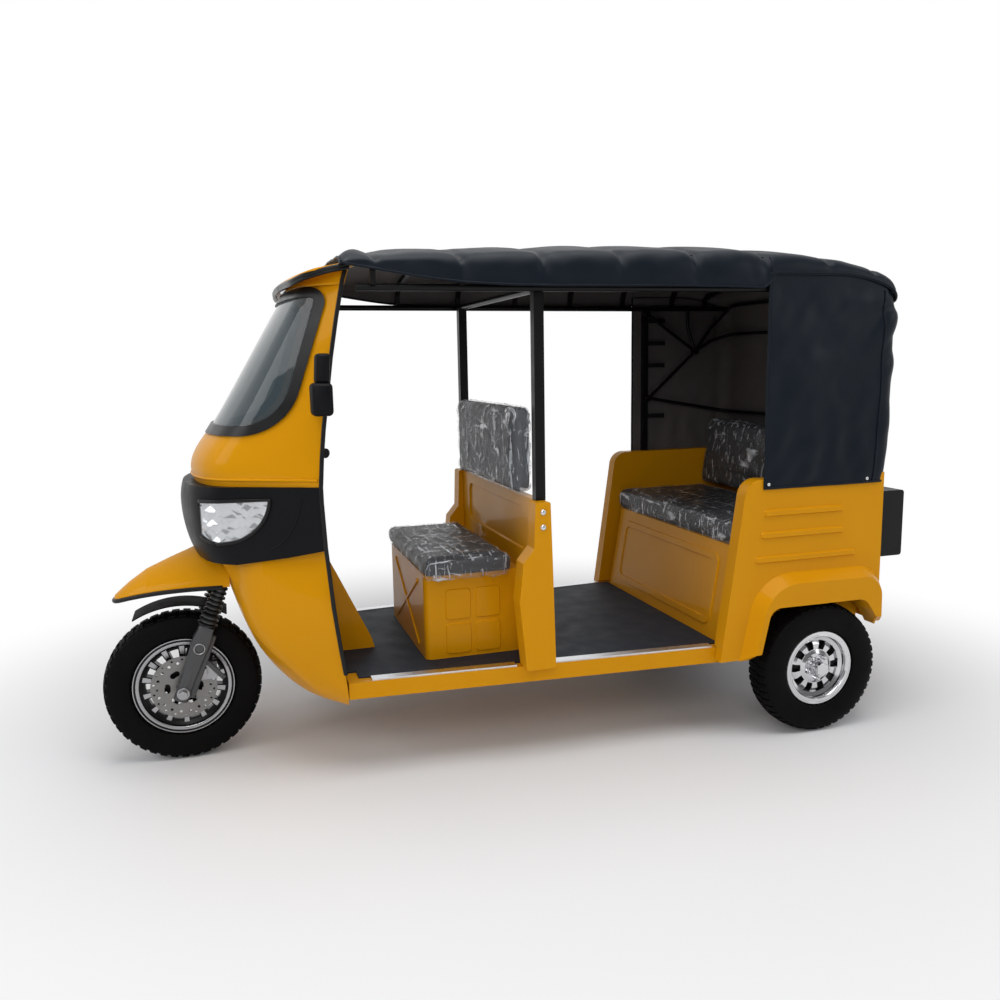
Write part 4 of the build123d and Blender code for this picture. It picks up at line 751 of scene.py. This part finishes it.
def wrap_film(node, pad, lift, crumple, seed, tail=(0.0, 0.0)):
    """Loose film sleeve over a pad, crumpled by noise, its tail hanging from a height down."""
    shape = bmesh.new()
    shape.from_mesh(pad.data)
    shape.normal_update()
    offset = Vector((seed * 3.1, seed * 1.7, seed * 0.9))
    moves = []
    for vert in shape.verts:
        spot = Vector((vert.co.x, vert.co.y * 0.55, vert.co.z)) * 21 + offset
        fold = 1 - abs(noise.noise(spot)) * 2.6
        fold += 0.6 * (1 - abs(noise.noise(spot * 2.3)) * 2.6)
        moves.append(vert.normal * (lift + crumple * max(fold, -0.4)))
    for vert, move in zip(shape.verts, moves):
        vert.co += move
    tail_top, tail_drop = tail
    for vert in shape.verts:
        if vert.co.z < tail_top:
            vert.co.z -= tail_drop * (0.6 + 0.8 * abs(noise.noise(vert.co * 24 + offset)))
    place_piece(f"{node}_film", shape, film, "body", smooth=180, turn_out=False)


for node, pad_sizes, covering, film_sizes in (
        ("driver_cushion", ((0.124, -0.348, 0.6445), (0.440, 0.348, 0.700), 0.020, 0.007, 0.006),
         (seat_black, "seat_black", (0, 0, 1), 0.0), (0.0022, 0.0030, 1, (0.652, 0.016))),
        ("driver_backrest", ((0.064, -0.368, 0.912), (0.124, 0.378, 1.214), 0.028, 0.007, 0.006),
         (seat_grey, "seat_grey", (1, 0, 0), 0.0), (0.0020, 0.0040, 2)),
        ("bench_cushion", ((-1.115, -0.500, 0.6915), (-0.660, 0.500, 0.772), 0.022, 0.007, 0.008),
         (seat_black, "seat_black", (0, 0, 1), 0.0), (0.0022, 0.0032, 3, (0.700, 0.010))),
        ("bench_backrest", ((-1.188, -0.500, 0.784), (-1.085, 0.500, 1.082), 0.026, 0.006, 0.008),
         (seat_black, "seat_black", (-1, 0, 0), -0.13), (0.0022, 0.0036, 4))):
    wrap_film(node, foam_pad(node, *pad_sizes, *covering), *film_sizes)

# Canopy ----------------------------------------
# Blue-black vinyl cloth, grey on its back, drawn over the roof bows and tied down at each of them, so it puffs
# between the bows and puckers at the shoulders. It hangs as a hemmed skirt over the doorways, and rolls down
# behind them to a piped seam that falls away to the rear corners.
vinyl, tree, shader, coords = shader_tree("vinyl_blue_black")
wire(tree, shader, {"Specular IOR Level": 0.15})
tint(tree, shader, noise_height(tree, coords, 3.5, 5), (0.0026, 0.0055, 0.0100), (0.0052, 0.0098, 0.0165))
tint(tree, shader, noise_height(tree, coords, 9, 4), 0.40, 0.52, "Roughness")
link_bump(tree, shader, noise_height(tree, coords, 700, 2), 0.0003, 0.35)
cloth_back = plain_finish("vinyl_grey_back", (0.072, 0.065, 0.062), 0.80, grain=600, grain_depth=0.0003)
# Rows along the canopy: place, crown height, shoulder height, hem height.
canopy_rows = [(0.690, 1.696, 1.667, 1.654), (0.665, 1.711, 1.674, 1.649), (0.610, 1.720, 1.678, 1.640),
               (0.550, 1.7245, 1.680, 1.630), (0.430, 1.733, 1.682, 1.612), (0.330, 1.738, 1.686, 1.601),
               (0.200, 1.742, 1.689, 1.594), (0.070, 1.746, 1.693, 1.592), (-0.190, 1.754, 1.698, 1.592),
               (-0.450, 1.759, 1.702, 1.592), (-0.710, 1.753, 1.698, 1.589), (-0.960, 1.735, 1.684, 1.589),
               (-1.130, 1.705, 1.663, 1.589), (-1.200, 1.682, 1.646, 1.578), (-1.242, 1.655, 1.622, 1.556),
               (-1.2655, 1.606, 1.588, 1.535)]
crown_end, shoulder_end = 0.76, 0.90
puff_height = 0.0105
bow_places = [0.690, 0.590, 0.330, 0.070, -0.190, -0.450, -0.710, -0.960, -1.150, -1.2655]
doorway_rear = {1: -0.722, -1: -0.765}
corner_radius = 0.060
cloth = 0.0022


def bell(value, width):
    """Bell-shaped fall away from a line."""
    return exp(-(value / width) ** 2)


def canopy_heights(x):
    """Crown, shoulder and hem heights at a place, smoothly between the rows."""
    x = min(max(x, canopy_rows[-1][0]), canopy_rows[0][0])
    last = len(canopy_rows) - 1
    index = next(i for i in range(last) if canopy_rows[i + 1][0] <= x + 1e-9)
    before, here, there, after = (canopy_rows[min(max(i, 0), last)] for i in range(index - 1, index + 3))
    share = (here[0] - x) / (here[0] - there[0])
    heights = []
    for column in (1, 2, 3):
        start_slope = (there[column] - before[column]) * (here[0] - there[0]) / (before[0] - there[0])
        end_slope = (after[column] - here[column]) * (here[0] - there[0]) / (here[0] - after[0])
        a, b = here[column], there[column]
        heights.append(a + share * start_slope + share ** 2 * (3 * (b - a) - 2 * start_slope - end_slope)
                       + share ** 3 * (2 * (a - b) + start_slope + end_slope))
    return heights


def wall_top(x):
    """Height of the piped seam behind the doorways, falling in a curve to the rear corner."""
    fall = min(1.0, max(0.0, (-0.985 - x) / 0.290))
    return 1.638 - 0.128 * (1 - sqrt(1 - fall * fall * 0.995))


def canopy_point(x, across):
    """Point of the canopy's outer face at a place and a share of the way round, with its puff and puckers."""
    crown, shoulder, hem = canopy_heights(x)
    half = 0.5715 + max(0.0, (x + 0.710) / 1.378) * (0.508 - 0.571)
    to_rear = x - canopy_rows[-1][0]
    if to_rear < corner_radius:
        half += sqrt(corner_radius ** 2 - (corner_radius - to_rear) ** 2) - corner_radius
    side = 1 if across >= 0 else -1
    behind = min(1.0, max(0.0, (doorway_rear[side] + 0.02 - x) / 0.04))
    share = abs(across)
    inner = half - 0.046 - 0.05 * min(1.0, max(0.0, (-1.0 - x) / 0.25))
    skirt = 0.038 * min(1.0, max(0.14, (0.700 - x) / 0.24))
    end = (1 - behind) * (hem + skirt) + behind * wall_top(x)
    if share <= crown_end:
        y = inner * share / crown_end
        z = shoulder + (crown - shoulder) * (1 - (share / crown_end) ** 2)
        out = Vector((0, 0.15, 1))
    elif share <= shoulder_end:
        turn = (share - crown_end) / (shoulder_end - crown_end)
        y = (1 - turn) ** 2 * inner + 2 * turn * (1 - turn) * (half + 0.002) + turn ** 2 * half
        z = (1 - turn) ** 2 * shoulder + 2 * turn * (1 - turn) * (shoulder - 0.010) + turn ** 2 * end
        out = Vector((0, 0.3 + 0.7 * turn, 1 - 0.8 * turn))
    else:
        turn = (share - shoulder_end) / (1 - shoulder_end)
        length = (1 - behind) * (end - hem) + behind * 0.008
        y, z = half, end - length * turn
        out = Vector((0, 1, 0.1))
    index = next((i for i in range(len(bow_places) - 1) if bow_places[i] >= x >= bow_places[i + 1]), 0)
    span = bow_places[index] - bow_places[index + 1]
    phase = (bow_places[index] - x) / span
    puff = min(1.0, span / 0.26) * max(0.0, sin(pi * phase)) ** 0.75
    strength = puff_height * (1 - 0.8 * max(0.0, share - crown_end) / (1 - crown_end))
    near_bow = min(phase, 1 - phase) * span
    pucker = bell(near_bow, 0.013) * bell(share - 0.80, 0.070) * 0.013
    ripple = noise.noise(Vector((x * 9, across * 3.2, 1.5))) * 0.0035
    ripple += noise.noise(Vector((x * 26 + across * 6, across * 9, 4.0))) * 0.0026 * bell(near_bow, 0.07)
    ripple += noise.noise(Vector((x * 11 - 5 * share, 7.0, side * 3.0))) * 0.0045 * bell(share - 0.86, 0.10)
    calm = 1 - behind * min(1.0, max(0.0, (share - 0.80) / 0.10))
    forward = max(0.0, (x - 0.600) / 0.090)
    z += 0.017 * bell(share - 0.66, 0.13) * bell(x - 0.648, 0.045)
    point = Vector((x + (0.016 * share - 0.012) * forward, side * y, z))
    out.y *= side
    return point + out.normalized() * ((puff * strength + ripple) * calm - pucker * calm)


front_x, back_x = canopy_rows[0][0], canopy_rows[-1][0]
shape = bmesh.new()
bmesh.ops.create_grid(shape, x_segments=220, y_segments=120, size=1)
for vert in shape.verts:
    run = (vert.co.x + 1) / 2
    x = back_x + (front_x - back_x) * (run - 0.045 * sin(tau * run) / tau * 2)
    vert.co = canopy_point(x, vert.co.y)
canopy = place_piece("canopy_cloth", shape, vinyl, "body", ("canopy_roof",), smooth=180)
canopy.data.materials.append(cloth_back)
face_up(canopy)
thicken(canopy, cloth, -1, 1)
for name, side in sides:
    run_back = front_x - doorway_rear[side] + 0.012
    route = [canopy_point(front_x - run_back * step / 80, side) for step in range(81)]
    route = [point - Vector((0, side * 0.001, 0)) for point in route]
    rod(f"canopy_hem_{name}", route, 0.0042, vinyl)
    route = [canopy_point(doorway_rear[side] + 0.004 + (back_x - doorway_rear[side]) * step / 90, side * 0.905)
             for step in range(91)]
    rod(f"canopy_piping_{name}", route, 0.0036, vinyl)
    route = [canopy_point(doorway_rear[side] - 0.006, side * (0.80 + 0.105 * step / 12)) for step in range(13)]
    rod(f"canopy_joint_{name}", route, 0.0026, vinyl)
route = [canopy_point(front_x, step / 40) for step in range(-40, 41)]
rod("canopy_hem_front", route, 0.0042, vinyl)

# Hood curtain ----------------------------------
# One vinyl panel round the back of the hood, from the left doorway to the right, hung from the piped seam,
# with a stitched strip down each rear corner and press studs along its lower edge.
curtain_low, curtain_top = 0.906, 1.612
curtain_half = 0.5660
rear_run, corner_run = 0.44, 0.56


def curtain_back(z):
    """Place of the rear panel at a height: drawn in at its foot, bellied above and rolled in at the top."""
    foot = max(0.0, (1.26 - z) / 0.354)
    head = max(0.0, (z - 1.36) / 0.25)
    return -1.2670 + 0.0225 * foot ** 1.7 + 0.006 * head ** 2


def curtain_point(along, height):
    """Point of the curtain: along from -1 at the right doorway to 1 at the left, height from 0 to 1.

    Its runs end at rear_run and corner_run, where the rear panel and the rounded corner end.
    """
    walk = abs(along)
    side = 1 if along >= 0 else -1
    front = doorway_rear[side]
    if walk < rear_run:
        y_share = walk / rear_run
        z = curtain_low + (curtain_top - 0.040 * y_share ** 6 - curtain_low) * height
        spot, out = Vector((curtain_back(z), (curtain_half - corner_radius) * y_share, z)), Vector((-1, 0, 0))
    elif walk < corner_run:
        turn = (walk - rear_run) / (corner_run - rear_run) * pi / 2
        z_top = max(1.572, wall_top(curtain_back(1.5) + corner_radius * (1 - cos(turn))) + 0.010 * cos(turn))
        z = curtain_low + (z_top - curtain_low) * height
        out = Vector((-cos(turn), sin(turn), 0))
        spot = Vector((curtain_back(z) + corner_radius, curtain_half - corner_radius, z)) + out * corner_radius
        spot -= out * 0.010 * max(0.0, (z - z_top + 0.040) / 0.040)
    else:
        share = (walk - corner_run) / (1 - corner_run)
        start = curtain_back(curtain_low + 0.5) + corner_radius
        x = start + (front - start) * share
        z_top = wall_top(x) - 0.001
        z = curtain_low + (z_top - curtain_low) * height
        x = curtain_back(z) + corner_radius + (front - curtain_back(z) - corner_radius) * share
        spot, out = Vector((x, curtain_half, z)), Vector((0, 1, 0))
    z = spot.z
    rearness = max(0.0, min(1.0, (front - 0.16 - spot.x) / 0.38))
    drift = Vector((spot.x * 5.0 + z * 4.6, spot.y * 4.0, z * 3.2 - spot.x * 3.4))
    wrinkle = noise.noise(drift) * 0.0095 + noise.noise(drift * 2.6 + Vector((3, 1, 7))) * 0.0036
    fan = sin((z - 1.60) * 38 + (spot.x + 1.262) * 24 + noise.noise(drift * 1.4) * 2.2) * 0.0105
    fan *= bell(z - 1.49, 0.13) * rearness
    sag = sin(spot.x * 55 + noise.noise(drift) * 3) * 0.0022 * bell(z - 1.00, 0.22)
    edge = min(1.0, (1 - height) / 0.10, height / 0.06 + 0.2, max(0.15, abs(spot.x - front) / 0.05))
    spot.y *= side
    out.y *= side
    return spot + out * max(-0.003, wrinkle + fan + sag) * edge


shape = bmesh.new()
bmesh.ops.create_grid(shape, x_segments=260, y_segments=90, size=1)
for vert in shape.verts:
    vert.co = curtain_point(vert.co.x, (vert.co.y + 1) / 2)
curtain = place_piece("hood_curtain", shape, vinyl, "body",
                      ("side_curtain_left", "side_curtain_right", "rear_curtain"), smooth=180)
curtain.data.materials.append(cloth_back)
if sum(face.normal.y * face.center.y for face in curtain.data.polygons) < 0:
    curtain.data.flip_normals()
thicken(curtain, cloth, -1, 1)
for name, side in sides:
    route = [curtain_point(side * 1.0, step / 40) for step in range(41)]
    rod(f"curtain_edge_{name}", route, 0.0040, vinyl)
    route = [curtain_point(side * 0.575, step / 40) + Vector((0, side * 0.001, 0)) for step in range(40)]
    rod(f"curtain_corner_piping_{name}", route, 0.0032, vinyl)
    shape = bmesh.new()
    for place in (0.985, 0.60):
        centre = curtain_point(side * place, 0.022) + Vector((0, side * 0.002, 0))
        ball(shape, (14, 8), 0.0065, (1, 0.5, 1), centre)
    place_piece(f"curtain_studs_{name}", shape, chrome)
route = [curtain_point(-1 + step / 60, 0.004) for step in range(121)]
rod("curtain_bottom_hem", route, 0.0045, vinyl)

# Roof frame, posts and hood irons --------------
# Black painted tube: the bows and rails under the canopy, the door posts and the folding irons of the hood.
# Short webbing tabs hold the curtain to each rear post.
finish(frame_black, "roof_frame", "centre_posts", "rear_posts", "hood_irons")
webbing = plain_finish("black_webbing", (0.004, 0.004, 0.0045), 0.75, grain=900, grain_depth=0.0004, gloss=0.2)
for name, side in sides:
    shape = bmesh.new()
    tab_y = side * 0.541
    for height in (1.53, 1.43, 1.33, 1.10):
        block(shape, (-0.918, tab_y - 0.0015, height - 0.009), (-0.806, tab_y + 0.0015, height + 0.009), 0.001)
    place_piece(f"post_tabs_{name}", shape, webbing)

# Partition fittings, lamps, box and mirrors ------
# Small bought-in parts: chrome dome bolts on the pillars, red tail lamps, a black box with a lid behind, and
# two-part door mirrors. Painted strips close the rounded front corners of the hollow quarter panels.
lamp_red = plain_finish("lamp_red", (0.34, 0.008, 0.008), 0.18, coat=0.6)
finish(lamp_red, "tail_lamps")
box_black = plain_finish("box_black", (0.0040, 0.0042, 0.0048), 0.46, grain=500, gloss=0.22)
finish(box_black, "rear_box")
for name, side in sides:
    shape = bmesh.new()
    rings = []
    for step in range(19):
        angle = radians(6 + 85 * step / 18)
        rings.append([shape.verts.new((-0.7107 + reach * cos(angle), side * y, 0.878 + reach * sin(angle)))
                      for reach, y in ((0.0622, 0.5083), (0.0622, 0.5617), (0.0606, 0.5617), (0.0606, 0.5083))])
    for here, there in zip(rings, rings[1:]):
        for index in range(4):
            shape.faces.new((here[index - 1], here[index], there[index], there[index - 1]))
    shape.faces.new(rings[0])
    shape.faces.new(rings[-1])
    place_piece(f"quarter_corner_strip_{name}", shape, body_paint)
    shape = bmesh.new()
    for height in (0.872, 0.822):
        ball(shape, (18, 10), 0.0105, (1, 0.6, 1), (0.076, side * 0.5185, height))
    place_piece(f"pillar_bolts_{name}", shape, chrome)
    shape = bmesh.new()
    block(shape, (0.742, side * 0.498 - 0.026, 1.302), (0.786, side * 0.498 + 0.026, 1.392), 0.012, 4)
    for vert in shape.verts:
        if vert.co.z > 1.35:
            vert.co.x -= 0.006 * (vert.co.z - 1.35) / 0.042
    block(shape, (0.736, side * 0.505 - 0.036, 1.208), (0.800, side * 0.505 + 0.036, 1.306), 0.014, 4)
    block(shape, (0.744, side * 0.455 - 0.025, 1.330), (0.762, side * 0.455 + 0.025, 1.350), 0.004)
    soften(place_piece(f"door_mirror_{name}", shape, mask_black, "body",
                       ("door_mirrors",) if side > 0 else ()), 0.002)
